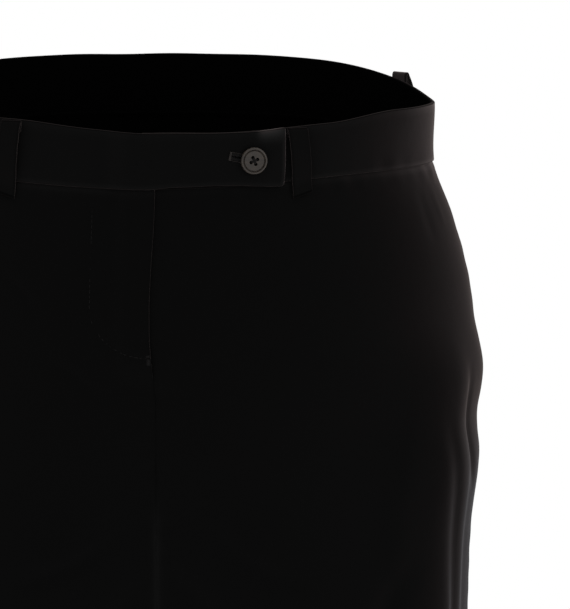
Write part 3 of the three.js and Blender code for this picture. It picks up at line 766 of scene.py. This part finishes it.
def panel_levels():
    top = BAND_BOTTOM
    curve_top = CROTCH + CROTCH_CURVE
    hip = top + (curve_top - top) * np.linspace(0, 1, PANEL_ROWS_HIP, endpoint=False)
    turns = math.pi / 2 * (1 - np.linspace(0, 1, PANEL_ROWS_CROTCH, endpoint=False))
    crotch = CROTCH + CROTCH_CURVE * (1 - np.cos(turns))
    share = np.linspace(0, 1, PANEL_ROWS_LEG)
    leg = CROTCH + (HEM - CROTCH) * share ** LEG_SPREAD
    hem_roll = HEM + np.array([2.4, 1.2, 0.5])
    levels = np.concatenate([hip, crotch, leg, hem_roll])
    near_top = top + np.array([SEAM_UNDER_BAND, -0.5, -1.1])
    return sorted(set(np.round(np.concatenate([levels, near_top]), 4)), reverse=True)


def panel_columns(last):
    """Distances across a panel, closer together at its two sewn edges."""
    even = np.linspace(0, last, PANEL_COLUMNS)
    close = np.array([0.08, 0.2, 0.4, 0.7, 1.1])
    return np.sort(np.concatenate([even, close, last - close]))


def panel_glow(place, z, distance, last):
    """The pile is parted along a panel's seams. Under the band the panel gets painted light, lifting
    the shade the band casts, and a painted sheen at the hips. Below the fly the centre ridge gets a
    painted sheen, and beside the side seam low down a painted shade dims the sheen."""
    from_band = BAND_BOTTOM - z
    to_edge = last - distance
    at_side = 1 + faded(SIDE_PARTED, distance)
    if place.back or z > FLY_END:
        hip = faded(HIP_PAINTED_SHEEN, from_band) * np.exp(-(distance / HIP_PAINTED_SHEEN_WIDTH) ** 2)
        top = 1 + faded(WAIST_PAINTED_LIGHT, from_band) + hip
        parted = FLY_PARTED if place is RIGHT_FRONT else CENTRE_PARTED
        return top * at_side * (1 + faded(parted, to_edge))
    ridge = smooth(-186, -226, z) * smooth(CROTCH, CROTCH + CROTCH_CURVE, z)
    at_centre = 1 + faded(FRONT_PARTED, to_edge) + ridge * faded(RIDGE_PAINTED_SHEEN, to_edge)
    return at_side * at_centre * (1 + smooth(-215, -246, z) * faded(SIDE_PAINTED_SHADE, distance))


def make_panel(place, velvet, ground):
    outer_rows, inner_rows, uvs, glow = [], [], [], []
    for z in panel_levels():
        wall = CLOTH_WALL + (HEM_WALL - CLOTH_WALL) * float(smooth(HEM + HEM_TURN, HEM + HEM_TURN - 2, z))
        if z > BAND_BOTTOM:
            wall = CLOTH_WALL / 2
        lap = fly_lap(z) if place is LEFT_FRONT else 0
        last = section_curve(z, place.back).length + lap
        distance = panel_columns(last)
        out = panel_height(place, z, distance)
        outer, inner = panel_surface(place, z, distance, (out, out - wall))
        outer_rows.append(outer)
        inner_rows.append(inner)
        uvs.append(np.stack([distance, z + 0 * distance], axis=-1))
        glow.append(panel_glow(place, z, distance, last))
    rows, columns = len(outer_rows), len(outer_rows[0])
    points = np.concatenate([np.array(outer_rows).reshape(-1, 3), np.array(inner_rows).reshape(-1, 3)])
    faces, slots = wall_faces(rows, columns)
    uvs = np.tile(np.array(uvs).reshape(-1, 2), (2, 1))
    glow = np.tile(np.array(glow).ravel(), 2)
    return make_object("velvet_" + place.name, points, faces, [velvet, ground], slots, uvs, glow=glow)


def panel_flat_size(place):
    """Width, length and area of a panel's cut, in metres, from the lengths of its sections."""
    levels = np.linspace(BAND_BOTTOM, HEM, 200)
    widths = [section_curve(z, place.back).length for z in levels]
    length = BAND_BOTTOM - HEM + (section_value("back_lift", BAND_BOTTOM) if place.back else 0)
    step = (BAND_BOTTOM - HEM) / (len(levels) - 1)
    return max(widths) * MM, length * MM, sum(widths) * step * MM * MM


# Waistband

def band_profile():
    """The band's cross-section as (out, height share, edge offset, glow) points round a closed
    ring: a pressed outer face, a folded top edge, the inner face and the seam at the bottom."""
    fold = BAND_FOLD
    points = []
    for share in np.linspace(0, 1, 15):
        pillow = BAND_PILLOW * math.sin(math.pi * share) ** 0.7
        # Painted highlights along the band's top and bottom edges, on top of its painted sheen
        painted_light = 1 + BAND_TOP_PAINTED_HIGHLIGHT * float(smooth(0.86, 1, share))
        painted_light += BAND_BOTTOM_PAINTED_HIGHLIGHT * float(smooth(0.08, 0, share))
        points.append((pillow, share, fold * (1 - 2 * share), BAND_GLOW * painted_light))
    # At the folds the glow drops for the parted pile, which also paints shade over the folds' sheen
    for middle, start, pile in ((-fold, 0, 0.5), (-BAND_WALL + fold, math.pi / 2, 0.05)):
        for turn in np.linspace(start, start + math.pi / 2, 6)[1:]:
            points.append((middle + fold * math.cos(turn), 1, fold * (math.sin(turn) - 1), pile))
    for share in np.linspace(1, 0, 11)[1:]:
        points.append((-BAND_WALL, share, fold * (1 - 2 * share), 1))
    for middle, start, pile in ((-BAND_WALL + fold, math.pi, 0.5), (-fold, 3 * math.pi / 2, 0.9)):
        for turn in np.linspace(start, start + math.pi / 2, 6)[1:-1]:
            points.append((middle + fold * math.cos(turn), 0, fold * (1 + math.sin(turn)), pile))
    return points


def tab_shape(past, height):
    """How the right band stands out past the centre front, and how its edges rise. Its end droops
    and curls out, and beside the button its top edge rolls back."""
    lap = (BAND_WALL + LAP_GAP) * smooth(TAB_RAMP_START, TAB_RAMP_END, past)
    curl = smooth(TAB_CURL_START, TAB_END, past)
    into_corner = np.maximum(0, past - (TAB_END - TAB_CORNER))
    corner_rise = TAB_CORNER - np.sqrt(np.maximum(0, TAB_CORNER ** 2 - into_corner ** 2))
    droop = TAB_DROOP * smooth(TAB_DROOP_START, TAB_END, past)
    droop = droop - TAB_LIFT * smooth(*TAB_LIFT_START, past) * smooth(*TAB_LIFT_END, past)
    rolled = max(0.0, (height - TAB_ROLL_FROM) / (1 - TAB_ROLL_FROM)) ** 2
    roll = TAB_ROLL * np.exp(-((past - TAB_ROLL_AT) / TAB_ROLL_REACH) ** 4) * rolled
    out = lap + TAB_CURL_OUT * curl * height ** 2 - roll
    return out, (corner_rise - droop) * (1 - height) + TAB_CURL_RISE * curl ** 2 * height


def back_stretch(z):
    """Keeps both ends of the back at the side seams, where the section is longer or shorter."""
    return section_curve(z, True).length / section_curve(0, True).length


def make_band(name, place, length, steps, slots, tabbed=False):
    """A stretch of waistband from a side seam on: rings round its cross-section, closed at both
    ends. It is built as long rows, one for each point of the cross-section."""
    ends = np.array([0.06, 0.16, 0.32, 0.55, BAND_END_ROUND])
    distance = np.sort(np.concatenate([np.linspace(0, length, steps), ends, length - ends]))
    to_end = np.minimum(distance, length - distance)
    squeeze = np.sqrt(np.clip(1 - (1 - np.clip(to_end / BAND_END_ROUND, 0, 1)) ** 2, 0, 1))
    pinch = 1 - (1 - squeeze) * 2 * BAND_END_ROUND / BAND_WALL
    bottom = BAND_BOTTOM + SEAM_GAP / 2
    middle = -BAND_WALL / 2
    rings, ring_slots, uvs, glow = [], [], [], []
    profile = band_profile()
    for out, share, offset, pile in profile:
        z = bottom + (BAND_TOP - bottom) * share + offset
        height = min(1.0, max(0.0, (z - bottom) / (BAND_TOP - bottom)))
        along = distance * back_stretch(z) if place.back else distance
        plain = surface(place, z, along, 0)
        past = -place.side * plain[:, 0]
        stand, rise = tab_shape(past, height) if tabbed else (0, 0)
        swell = middle + (out - middle) * pinch
        from_seam = z - bottom
        seam_wave = ripple(place.side + 0.4, distance, BAND_SEAM_WAVE.length)
        seam_wave = BAND_SEAM_WAVE.height * seam_wave * math.exp(-((from_seam - 3) / 4) ** 2)
        top_wave = ripple(place.side + 2.2, distance, BAND_TOP_WAVE.length) * height ** 2
        stand = stand + BAND_TOP_WAVE.height * top_wave + (seam_wave if out > middle else 0)
        # Painted shade on the left band's lower edge under the tab's end; on the tab, painted highlights
        # along its end edge and where its top rolls back
        under_tab = place is LEFT_FRONT and share < 0.1
        painted_light = TAB_SHADE * smooth(TAB_END + 2, TAB_END - 2, np.abs(plain[:, 0])) * under_tab
        if tabbed and out > middle:
            at_edge = np.clip(1 - (TAB_END - past) / TAB_EDGE, 0, 1)
            stand = stand - TAB_EDGE_ROLL * (1 - np.sqrt(1 - at_edge ** 2))
            at_roll = np.exp(-((past - TAB_ROLL_AT) / (TAB_ROLL_REACH + 1)) ** 4)
            at_roll = at_roll * smooth(0.72, 0.95, height)
            painted_light = np.maximum(TAB_EDGE_GLOW * (at_edge > 0), TAB_ROLL_GLOW * at_roll)
        points = surface(place, z, along, BAND_PROUD + stand + swell)
        points[:, 2] += rise + (1 - squeeze) * BAND_END_ROUND * (1 - 2 * share)
        wave = ripple(place.side + 3.1, distance, BAND_RISE_WAVE.length)
        points[:, 2] += BAND_RISE_WAVE.height * wave * height
        rings.append(points)
        ring_slots.append(1 if out <= -BAND_WALL + 0.01 else 0)
        uvs.append(np.stack([distance, from_seam + (0 if out > middle else 60) + 0 * distance], axis=-1))
        # The glow halves towards the band's rounded ends, a painted shade over their sheen
        glow.append(pile * (1 + painted_light) * (0.5 + 0.5 * smooth(0, BAND_END_ROUND, to_end)))
    count = len(profile)
    grid = np.array(rings).transpose(1, 0, 2).reshape(-1, 3)
    faces = tube_faces(len(distance), count)
    face_slots = ring_slots * (len(distance) - 1) + [0, 0]
    uvs = np.array(uvs).transpose(1, 0, 2).reshape(-1, 2)
    glow = np.array(glow).T.ravel()
    return make_object(name, grid, faces, slots, face_slots, uvs, sharp=60, glow=glow)


def place_frame(place, z, distance, out):
    """Origin in mm and outward, up and across directions at a place on the plain surface."""
    base = surface(place, z, distance, 0)
    outward = surface(place, z, distance, 1) - base
    along = surface(place, z + 1, distance, 0) - base
    outward /= np.linalg.norm(outward)
    across = np.cross(along, outward)
    across /= np.linalg.norm(across)
    return base + outward * out, outward, np.cross(outward, across), across


def placed(points, where):
    """Moves points given as (across, up, outward) to a place's frame."""
    origin, outward, up, across = where
    points = np.asarray(points, float)
    return origin + points[:, :1] * across + points[:, 1:2] * up + points[:, 2:3] * outward


def apply_modifiers(piece):
    evaluated = piece.evaluated_get(bpy.context.evaluated_depsgraph_get())
    mesh = bpy.data.meshes.new_from_object(evaluated, preserve_all_data_layers=True,
                                           depsgraph=bpy.context.evaluated_depsgraph_get())
    piece.modifiers.clear()
    piece.data = mesh


# Belt loops

def loop_line(loop):
    """The strip's middle line as (out, level) points: up inside, over the fold and down outside."""
    top = BAND_TOP + loop.above
    bottom = BAND_BOTTOM - loop.below
    touch = BAND_PROUD + SEAM_GAP + LOOP_WALL / 2
    fold = touch + LOOP_WALL + SEAM_GAP
    high = touch + loop.bow
    guides = [
        (touch, BAND_TOP - 7), (touch, top - 3.6), (touch + 0.2, top - 1.6),
        ((touch + fold) / 2, top - LOOP_WALL / 2), (fold + 0.3, top - 1.8), (high, BAND_TOP - 6),
        (high + 0.3, 0), (high - 0.6, BAND_BOTTOM + 8), (touch + 0.2, BAND_BOTTOM - 1),
        (touch, bottom + 3), (touch, bottom),
    ]
    return smooth_line(np.array(guides), 12)


def smooth_line(guides, per_span):
    """A Catmull-Rom curve through guide points."""
    padded = np.vstack([2 * guides[0] - guides[1], guides, 2 * guides[-1] - guides[-2]])
    points = []
    for i in range(1, len(padded) - 2):
        before, start, end, after = padded[i - 1:i + 3]
        for t in np.linspace(0, 1, per_span, endpoint=False):
            points.append(0.5 * (2 * start + (end - before) * t
                                 + (2 * before - 5 * start + 4 * end - after) * t ** 2
                                 + (3 * start - before - 3 * end + after) * t ** 3))
    points.append(guides[-1])
    return np.array(points)


def make_loop(loop, slots):
    """A belt loop: a flat tube of cloth whose section is rounded at both edges."""
    line = loop_line(loop)
    place = Place(loop.name, loop.side, loop.back)
    top, bottom = BAND_TOP + loop.above, BAND_BOTTOM - loop.below
    half = LOOP_WALL / 2
    painted_bright = loop.back and loop.side > 0
    loop_glow = BACK_LEFT_LOOP_PAINTED_GLOW if painted_bright else LOOP_GLOW
    edge_glow = BACK_LEFT_LOOP_EDGE_PAINTED_GLOW if painted_bright else LOOP_EDGE_GLOW
    flat = LOOP_WIDTH / 2 - LOOP_BEVEL
    rim = half - LOOP_BEVEL
    corners = [(flat, rim, 0), (flat, -rim, -1), (-flat, -rim, -2), (-flat, rim, -3)]
    section = [(across, half * (1 + 0.18 * math.cos(math.pi * across / flat)))
               for across in np.linspace(-flat, flat, 9)[1:-1]]
    for across, face, quarter in corners:
        for turn in np.linspace(math.pi / 2, 0, 4) + quarter * math.pi / 2:
            section.append((across + LOOP_BEVEL * math.cos(turn), face + LOOP_BEVEL * math.sin(turn)))
        if quarter == -1:
            section += [(side, -half) for side in np.linspace(flat, -flat, 9)[1:-1]]
    rings, uvs, run = [], [], 0.0
    for i, (out, level) in enumerate(line):
        step = line[min(i + 1, len(line) - 1)] - line[max(i - 1, 0)]
        step = step / np.linalg.norm(step)
        run += float(np.linalg.norm(line[i] - line[max(i - 1, 0)]))
        slide = loop.slant * (0.5 - (level - bottom) / (top - bottom))
        at = min(BAND_TOP, max(bottom, level))
        base, outward, up, across = place_frame(place, at, distance_at_x(place, at, loop.x) - slide, 0)
        edge = min(i, len(line) - 1 - i)
        thin = math.sqrt(1 - (1 - min(1, (edge + 0.3) / 3)) ** 2)
        ring = []
        for side, face in section:
            side_wave = 0.12 * math.sin(run / 3.1 + loop.x) * (abs(side) / flat) ** 3
            ring.append(base + across * (side + math.copysign(side_wave, side))
                        + outward * (out + step[1] * face * thin)
                        + up * (level - at - step[0] * face * thin))
            uvs.append((side, run))
        rings.append(ring)
    faces = tube_faces(len(rings), len(section))
    points = np.array(rings).reshape(-1, 3)
    # Painted sheen on the faces, painted shade on the edges and the front loops' ends, and the back left
    # loop painted much brighter
    glow = []
    for _, level in line:
        at_end = not loop.back and not bottom + 1.6 < level < top - 1.4
        for side, _ in section:
            at_edge = abs(side) > flat - 0.01
            glow.append(LOOP_END_GLOW if at_end else edge_glow if at_edge else loop_glow)
    return make_object("velvet_" + loop.name, points, faces, slots, None, uvs, sharp=60, glow=glow)


# Button and sewing

def cut_away(piece, where, outlines, low, high):
    """Cuts upright prisms out of a piece, each from its (across, up) outline in a place's frame."""
    points, faces = [], []
    for outline in outlines:
        start, count = len(points), len(outline)
        points += [(x, y, low) for x, y in outline] + [(x, y, high) for x, y in outline]
        faces.append([start + i for i in range(count)][::-1])
        faces.append([start + count + i for i in range(count)])
        for i in range(count):
            after = (i + 1) % count
            faces.append([start + i, start + after, start + count + after, start + count + i])
    cutter = make_object("cutter", placed(points, where), faces, [])
    cut = piece.modifiers.new("cut", "BOOLEAN")
    cut.operation = "DIFFERENCE"
    cut.solver = "EXACT"
    cut.object = cutter
    apply_modifiers(piece)
    bpy.data.objects.remove(cutter, do_unlink=True)


def slit_half_height(along):
    """Half the gape of the buttonhole's slit, from 0 at its closed end to 1 at its round end."""
    return 0.08 + 0.34 * along ** 0.8


def turned(x, y, angle):
    return x * math.cos(angle) - y * math.sin(angle), x * math.sin(angle) + y * math.cos(angle)


def buttonhole_outline():
    """The slit gapes from its closed end to a round end that the button's thread passes through,
    pulled lower than the closed end by the button."""
    shares = np.linspace(0, 0.9, 7)
    upper = [(-SLIT_LENGTH * (1 - s), slit_half_height(s)) for s in shares]
    eye = [(SLIT_EYE_RADIUS * math.cos(t), SLIT_EYE_RADIUS * math.sin(t))
           for t in np.linspace(2.3, -2.3, 15)]
    outline = upper + eye + [(x, -y) for x, y in upper[::-1]]
    return [turned(x, y, SLIT_TURN) for x, y in outline]


def circle(x, y, radius, count):
    turns = np.linspace(0, 2 * math.pi, count, endpoint=False)
    return [(x + radius * math.cos(t), y + radius * math.sin(t)) for t in turns]


def button_holes():
    """Centres of the four holes, as (across, up) from the button's centre."""
    reach = BUTTON_HOLE_SPACING / math.sqrt(2)
    angles = [math.pi / 4 + k * math.pi / 2 + BUTTON_TURN for k in range(4)]
    return [(reach * math.cos(a), reach * math.sin(a)) for a in angles]


# Button's turned profile from the middle of its back to the middle of its face: a rounded edge, a
# raised rim, a fine groove inside it and a shallow dish
BUTTON_PROFILE = [
    (0, 0), (5.6, 0), (6.9, 0.25), (7.4, 0.8), (BUTTON_RADIUS, 1.5), (7.5, 2.3), (7.25, 2.75),
    (6.95, 2.96), (6.6, BUTTON_THICKNESS), (6.35, 2.8), (6.2, 2.3), (6.08, 1.95), (5.92, 1.95),
    (5.75, 2.35), (5.5, 2.55), (4.6, 2.5), (3.2, 2.4), (2.0, 2.36), (0, 2.36),
]


def make_button(material, where):
    count = 72
    points = [(0, 0, BUTTON_PROFILE[0][1])]
    for radius, height in BUTTON_PROFILE[1:-1]:
        points += [(x, y, height) for x, y in circle(0, 0, radius, count)]
    points.append((0, 0, BUTTON_PROFILE[-1][1]))
    rows = len(BUTTON_PROFILE) - 2
    last, tail = len(points) - 1, 1 + (rows - 1) * count
    faces = grid_faces(rows, count, first=1, wrap=True).tolist()
    for i in range(count):
        after = (i + 1) % count
        faces.append([0, 1 + i, 1 + after])
        faces.append([last, tail + after, tail + i])
    button = make_object("horn_button", placed(points, where), faces, [material], sharp=40)
    drills = [circle(x, y, BUTTON_HOLE_RADIUS, 20) for x, y in button_holes()]
    cut_away(button, where, drills, -1, 2 * BUTTON_THICKNESS)
    return button


def make_tubes(name, paths, radius, material):
    """Round strands along paths of points in mm, closed at both ends."""
    around = 8
    points, faces = [], []
    turns = np.linspace(0, 2 * math.pi, around, endpoint=False)
    for path in paths:
        path = np.asarray(path, float)
        start = len(points)
        ahead = np.gradient(path, axis=0)
        ahead /= np.linalg.norm(ahead, axis=1, keepdims=True)
        side = np.cross(ahead[0], (0.3, 0.2, 0.9))
        for centre, direction in zip(path, ahead):
            side = side - direction * side.dot(direction)
            side /= np.linalg.norm(side)
            over = np.cross(direction, side)
            points += [centre + radius * (math.cos(t) * side + math.sin(t) * over) for t in turns]
        faces += tube_faces(len(path), around, start)
    return make_object(name, points, faces, [material])


def make_thread_cross(material, where):
    """Four strands over each diagonal of the button's holes, one diagonal over the other."""
    holes = button_holes()
    paths = []
    for level, (start, end) in enumerate(((0, 2), (1, 3))):
        a, b = np.array(holes[start]), np.array(holes[end])
        along = (b - a) / np.linalg.norm(b - a)
        beside = np.array([-along[1], along[0]])
        for strand in (-1.5, -0.5, 0.5, 1.5):
            path = []
            for share in np.linspace(0, 1, 17):
                spot = a + (b - a) * share + beside * strand * (0.22 + 0.1 * math.sin(math.pi * share))
                arch = math.sin(math.pi * share) ** 0.45
                path.append((*spot, 1.5 + (1.25 + 0.3 * level) * arch - 0.06 * abs(strand)))
            paths.append(placed(path, where))
    return make_tubes("button_cross_thread", paths, 0.2, material)


def make_shank(material, where, height):
    """The post of wound thread that carries the button through the buttonhole."""
    rows, count = 28, 16
    points = []
    for level in np.linspace(0, height, rows):
        for k, (x, y) in enumerate(circle(0, 0, 1, count)):
            wound = 1.06 + 0.13 * math.cos(2 * math.pi * (level / 0.5 + k / count))
            points.append((x * wound, y * wound, level))
    return make_object("button_shank_thread", placed(points, where), tube_faces(rows, count), [material])


def make_stitch_shape():
    """One stitch, 1 m long and thick before it is scaled: a twisted strand that dips at its ends."""
    rows, count = 15, 10
    points = []
    for share in np.linspace(-0.5, 0.5, rows):
        plump = 0.5 * math.sqrt(max(0.02, 1 - abs(2 * share) ** 5))
        for k in range(count):
            turn = 2 * math.pi * k / count
            radius = plump * (1 + 0.12 * math.cos(2 * turn + 7 * share))
            rise = 0.4 * math.cos(math.pi * share) - 0.25
            points.append((share, radius * math.cos(turn), radius * math.sin(turn) + rise))
    return make_object("stitch_shape", np.array(points) / MM, tube_faces(rows, count), [])


def make_stitch_group():
    """Geometry nodes that set one stitch on each point, turned and sized by its attributes."""
    group = bpy.data.node_groups.new("stitches_on_points", "GeometryNodeTree")
    group.interface.new_socket("Geometry", in_out="OUTPUT", socket_type="NodeSocketGeometry")
    kinds = {"Geometry": "NodeSocketGeometry", "Stitch": "NodeSocketObject",
             "Unevenness": "NodeSocketFloat", "Seed": "NodeSocketInt", "Thread": "NodeSocketMaterial"}
    sockets = {label: group.interface.new_socket(label, in_out="INPUT", socket_type=kind).identifier
               for label, kind in kinds.items()}
    given = add_node(group, "NodeGroupInput")
    vector = {"data_type": "FLOAT_VECTOR"}
    turn = add_node(group, "GeometryNodeInputNamedAttribute", vector, {"Name": "turn"})
    size = add_node(group, "GeometryNodeInputNamedAttribute", vector, {"Name": "size"})
    rotation = add_node(group, "FunctionNodeEulerToRotation", links={"Euler": (turn, "Attribute")})
    chance = add_node(group, "FunctionNodeRandomValue", vector, {0: (-1, -1, -1), 1: (1, 1, 1)},
                      {"Seed": (given, "Seed")})
    uneven = add_node(group, "ShaderNodeVectorMath", {"operation": "SCALE"},
                      links={0: (chance, 0), "Scale": (given, "Unevenness")})
    share = add_node(group, "ShaderNodeVectorMath", {"operation": "ADD"}, {1: (1, 1, 1)},
                     {0: (uneven, 0)})
    scale = add_node(group, "ShaderNodeVectorMath", {"operation": "MULTIPLY"},
                     links={0: (share, 0), 1: (size, "Attribute")})
    stitch = add_node(group, "GeometryNodeObjectInfo", links={"Object": (given, "Stitch")})
    spread = add_node(group, "GeometryNodeInstanceOnPoints",
                      links={"Points": (given, "Geometry"), "Instance": (stitch, "Geometry"),
                             "Rotation": (rotation, 0), "Scale": (scale, 0)})
    real = add_node(group, "GeometryNodeRealizeInstances", links={"Geometry": (spread, 0)})
    shown = add_node(group, "GeometryNodeSetMaterial",
                     links={"Geometry": (real, 0), "Material": (given, "Thread")})
    add_node(group, "NodeGroupOutput", links={"Geometry": (shown, 0)})
    return group, sockets


Stitch = namedtuple("Stitch", "spot ahead outward length thickness")


def make_stitches(name, stitches, kit, material, seed):
    """One piece of sewing from a list of stitches, all in mm."""
    group, sockets, shape = kit
    mesh = bpy.data.meshes.new(name)
    mesh.from_pydata([Vector(s.spot) * MM for s in stitches], [], [])
    turns, sizes = [], []
    for s in stitches:
        x = Vector(s.ahead).normalized()
        z = Vector(s.outward)
        z = (z - x * z.dot(x)).normalized()
        turns.append(Matrix((x, z.cross(x), z)).transposed().to_euler())
        sizes.append((s.length * MM, s.thickness * MM, s.thickness * MM))
    for label, values in (("turn", turns), ("size", sizes)):
        attribute = mesh.attributes.new(label, "FLOAT_VECTOR", "POINT")
        attribute.data.foreach_set("vector", np.array(values, dtype=np.float32).ravel())
    piece = bpy.data.objects.new(name, mesh)
    scene.collection.objects.link(piece)
    nodes = piece.modifiers.new("stitches", "NODES")
    nodes.node_group = group
    nodes[sockets["Stitch"]] = shape
    nodes[sockets["Unevenness"]] = 0.08
    nodes[sockets["Seed"]] = seed
    nodes[sockets["Thread"]] = material
    apply_modifiers(piece)
    piece.data.shade_smooth()
    return piece


def skin_frame(place, z, distance):
    """A point on a panel's outer face and the outward direction there."""
    def skin(level, along):
        spot = np.array([along])
        return surface(place, level, spot, panel_height(place, level, spot))[0]

    down = skin(z - 0.7, distance) - skin(z + 0.7, distance)
    onward = skin(z, distance + 0.7) - skin(z, distance - 0.7)
    outward = np.cross(down, onward)
    outward *= (1 if place.back else -1) * math.copysign(1, outward[1])
    return skin(z, distance), outward / np.linalg.norm(outward)


def fly_stitches():
    """The fly's topstitching along its path."""
    steps = np.hypot(*np.diff(FLY_STITCHES, axis=0).T)
    run = np.append(0, np.cumsum(steps))
    stitches = []
    for middle in np.arange(1.6, run[-1] - 2, FLY_STITCH_SPACING):
        ends = []
        for at in (middle - 0.5, middle, middle + 0.5):
            to_centre, z = (float(np.interp(at, run, FLY_STITCHES[:, k])) for k in (0, 1))
            length = section_curve(z, False).length
            ends.append(skin_frame(RIGHT_FRONT, z, length - to_centre))
        spot, outward = ends[1]
        stitches.append(Stitch(spot + outward * 0.02, ends[2][0] - ends[0][0], outward,
                               FLY_STITCH_LENGTH, FLY_STITCH_THICKNESS))
    return stitches


def bar_tack(spot_at, count, spacing, length):
    """Close satin stitches side by side, from a function of the place along the tack."""
    stitches = []
    for k in range(count):
        spot, outward, ahead = spot_at((k - (count - 1) / 2) * spacing)
        stitches.append(Stitch(spot + outward * 0.05, ahead, outward, length, 0.4))
    return stitches


def fly_tack_spot(offset):
    z = FLY_END - 1 + offset
    length = section_curve(z, False).length
    spot, outward = skin_frame(RIGHT_FRONT, z, length - 1.6)
    return spot, outward, np.array([1.0, 0, 0.05])


def buttonhole_stitches(where):
    """Satin stitches that bind both edges of the slit and its round end, a bar across its closed
    end, and the row of purl knots along the outside."""
    _, outward, up, across = where
    edge = []
    for share in np.arange(0, 0.9, SATIN_SPACING / SLIT_LENGTH):
        edge.append((-SLIT_LENGTH * (1 - share), slit_half_height(share), 0.08, 1))
    for turn in np.arange(2.25, 0, -0.26):
        lean, rise = math.cos(turn), math.sin(turn)
        edge.append((SLIT_EYE_RADIUS * lean, SLIT_EYE_RADIUS * rise, lean, rise))
    satin, purl = [], []

    def sew(x, y, direction, lift, length, thickness, kept_in):
        spot = placed([(*turned(x, y, SLIT_TURN), lift)], where)[0]
        ahead = turned(*direction, SLIT_TURN)
        kept_in.append(Stitch(spot, ahead[0] * across + ahead[1] * up, outward, length, thickness))

    for x, y, lean, rise in edge:
        for flip in (1, -1):
            away = np.array([lean, rise * flip]) / math.hypot(lean, rise)
            sew(*(np.array([x, y * flip]) + away * 1.05), away, 0.1, 2.1, 0.46, satin)
            sew(*(np.array([x, y * flip]) + away * 2.2), (away[1], -away[0]), 0.3, 0.42, 0.36, purl)
    for level in np.arange(-2.2, 2.21, KNOT_SPACING):
        sew(-SLIT_LENGTH - 0.6, level, (1, 0), 0.3, 1.4, 0.5, purl)
    return satin, purl


# Assembly

velvet = make_velvet()
ground = make_velvet_back()
horn = make_horn()
thread = make_thread("spun_polyester_thread", "070606", "0e0d0d", 0.75)
# Buttonhole twist is thicker and glossier; its colour is also lighter than the sewing thread's, a
# painted highlight so that its knots catch the light
twist = make_thread("buttonhole_twist_thread", "141211", "2c2826", 0.5)
cloth = [velvet, ground]

panels = {place.name: make_panel(place, velvet, ground) for place in PANELS}
band_lengths = {
    "band_front_right": distance_at_x(RIGHT_FRONT, 0, -TAB_END),
    "band_front_left": distance_at_x(LEFT_FRONT, 0, -BAND_UNDERLAP),
    "band_back": 2 * section_curve(0, True).length,
}
band_builds = [
    ("band_front_right", RIGHT_FRONT, 300, True),
    ("band_front_left", LEFT_FRONT, 200, False),
    ("band_back", LEFT_BACK, 420, False),
]
bands = {name: make_band("velvet_" + name, place, band_lengths[name], steps, cloth, tabbed)
         for name, place, steps, tabbed in band_builds}
button_distance = distance_at_x(LEFT_FRONT, BUTTON_Z, BUTTON_X)
hole_place = place_frame(LEFT_FRONT, BUTTON_Z, button_distance, TAB_OUT)
button_place = place_frame(LEFT_FRONT, BUTTON_Z, button_distance, TAB_OUT + BUTTON_LIFT)
shank_place = place_frame(LEFT_FRONT, BUTTON_Z, button_distance, BAND_PROUD + SEAM_GAP)
cut_away(bands["band_front_right"], hole_place, [buttonhole_outline()], -2.5 * BAND_WALL, BAND_WALL)
loops = {loop.name: make_loop(loop, [velvet]) for loop in LOOPS}
button = make_button(horn, button_place)
shank = make_shank(thread, shank_place, TAB_OUT - BAND_PROUD + BUTTON_LIFT - 2 * SEAM_GAP)

# Each stands for the CAD node of the same name
stands_for = {**panels, **bands, **loops, "button": button, "button_thread": shank}
for name, piece in stands_for.items():
    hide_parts(name)

stitch_shape = make_stitch_shape()
stitch_kit = (*make_stitch_group(), stitch_shape)
satin, purl = buttonhole_stitches(hole_place)
sewing = {
    "fly": make_stitches("fly_topstitch", fly_stitches(), stitch_kit, thread, 3),
    "tack": make_stitches("fly_bar_tack", bar_tack(fly_tack_spot, 13, 0.45, 2.4), stitch_kit, thread, 5),
    "hole": make_stitches("buttonhole_satin", satin, stitch_kit, thread, 7),
    "purl": make_stitches("buttonhole_purl", purl, stitch_kit, twist, 9),
    "cross": make_thread_cross(thread, button_place),
}
bpy.data.objects.remove(stitch_shape, do_unlink=True)

for piece in [*stands_for.values(), *sewing.values()]:
    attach(piece, "root")

# Cut sizes. A panel's area is less than its width by its length, because it narrows to the waist
# and to the hem.
for place in PANELS:
    width, length, area = panel_flat_size(place)


# Studio: pale floor below the hem, an even white room and a soft key from the right

def make_floor():
    points = [(x, y, HEM - 30) for x, y in circle(0, 0, 3200, 96)]
    floor = make_object("studio_floor", points, [list(range(len(points)))], [make_studio_white()])


def look_at(item, target):
    item.rotation_euler = (Vector(target) - item.location).to_track_quat("-Z", "Y").to_euler()


def add_softbox(name, place, target, size, watts):
    data = bpy.data.lights.new(name, "AREA")
    data.shape = "DISK"
    data.size = size
    data.energy = watts
    lamp = bpy.data.objects.new(name, data)
    lamp.location = place
    scene.collection.objects.link(lamp)
    look_at(lamp, target)


make_floor()
world = bpy.data.worlds.new("white_room")
world.use_nodes = True
world.node_tree.nodes["Background"].inputs["Color"].default_value = (1, 1, 1, 1)
world.node_tree.nodes["Background"].inputs["Strength"].default_value = 1.0
scene.world = world
scene.view_settings.view_transform = "Standard"

WAIST = (0, 0, -0.1)
add_softbox("softbox_right", (2.2, -1.4, 0.9), WAIST, 1.4, 10)

CAMERA_DISTANCE = 2.505
CAMERA_RISE = math.radians(8)
AIM = (0.0725, -0.095, -0.088)
camera_data = bpy.data.cameras.new("product_camera")
camera_data.lens = 264.9
camera_data.sensor_width = 36
camera_data.clip_end = 100
camera = bpy.data.objects.new("product_camera", camera_data)
camera.location = (0, AIM[1] - CAMERA_DISTANCE * math.cos(CAMERA_RISE),
                   AIM[2] + CAMERA_DISTANCE * math.sin(CAMERA_RISE))
look_at(camera, AIM)
scene.collection.objects.link(camera)
scene.camera = camera
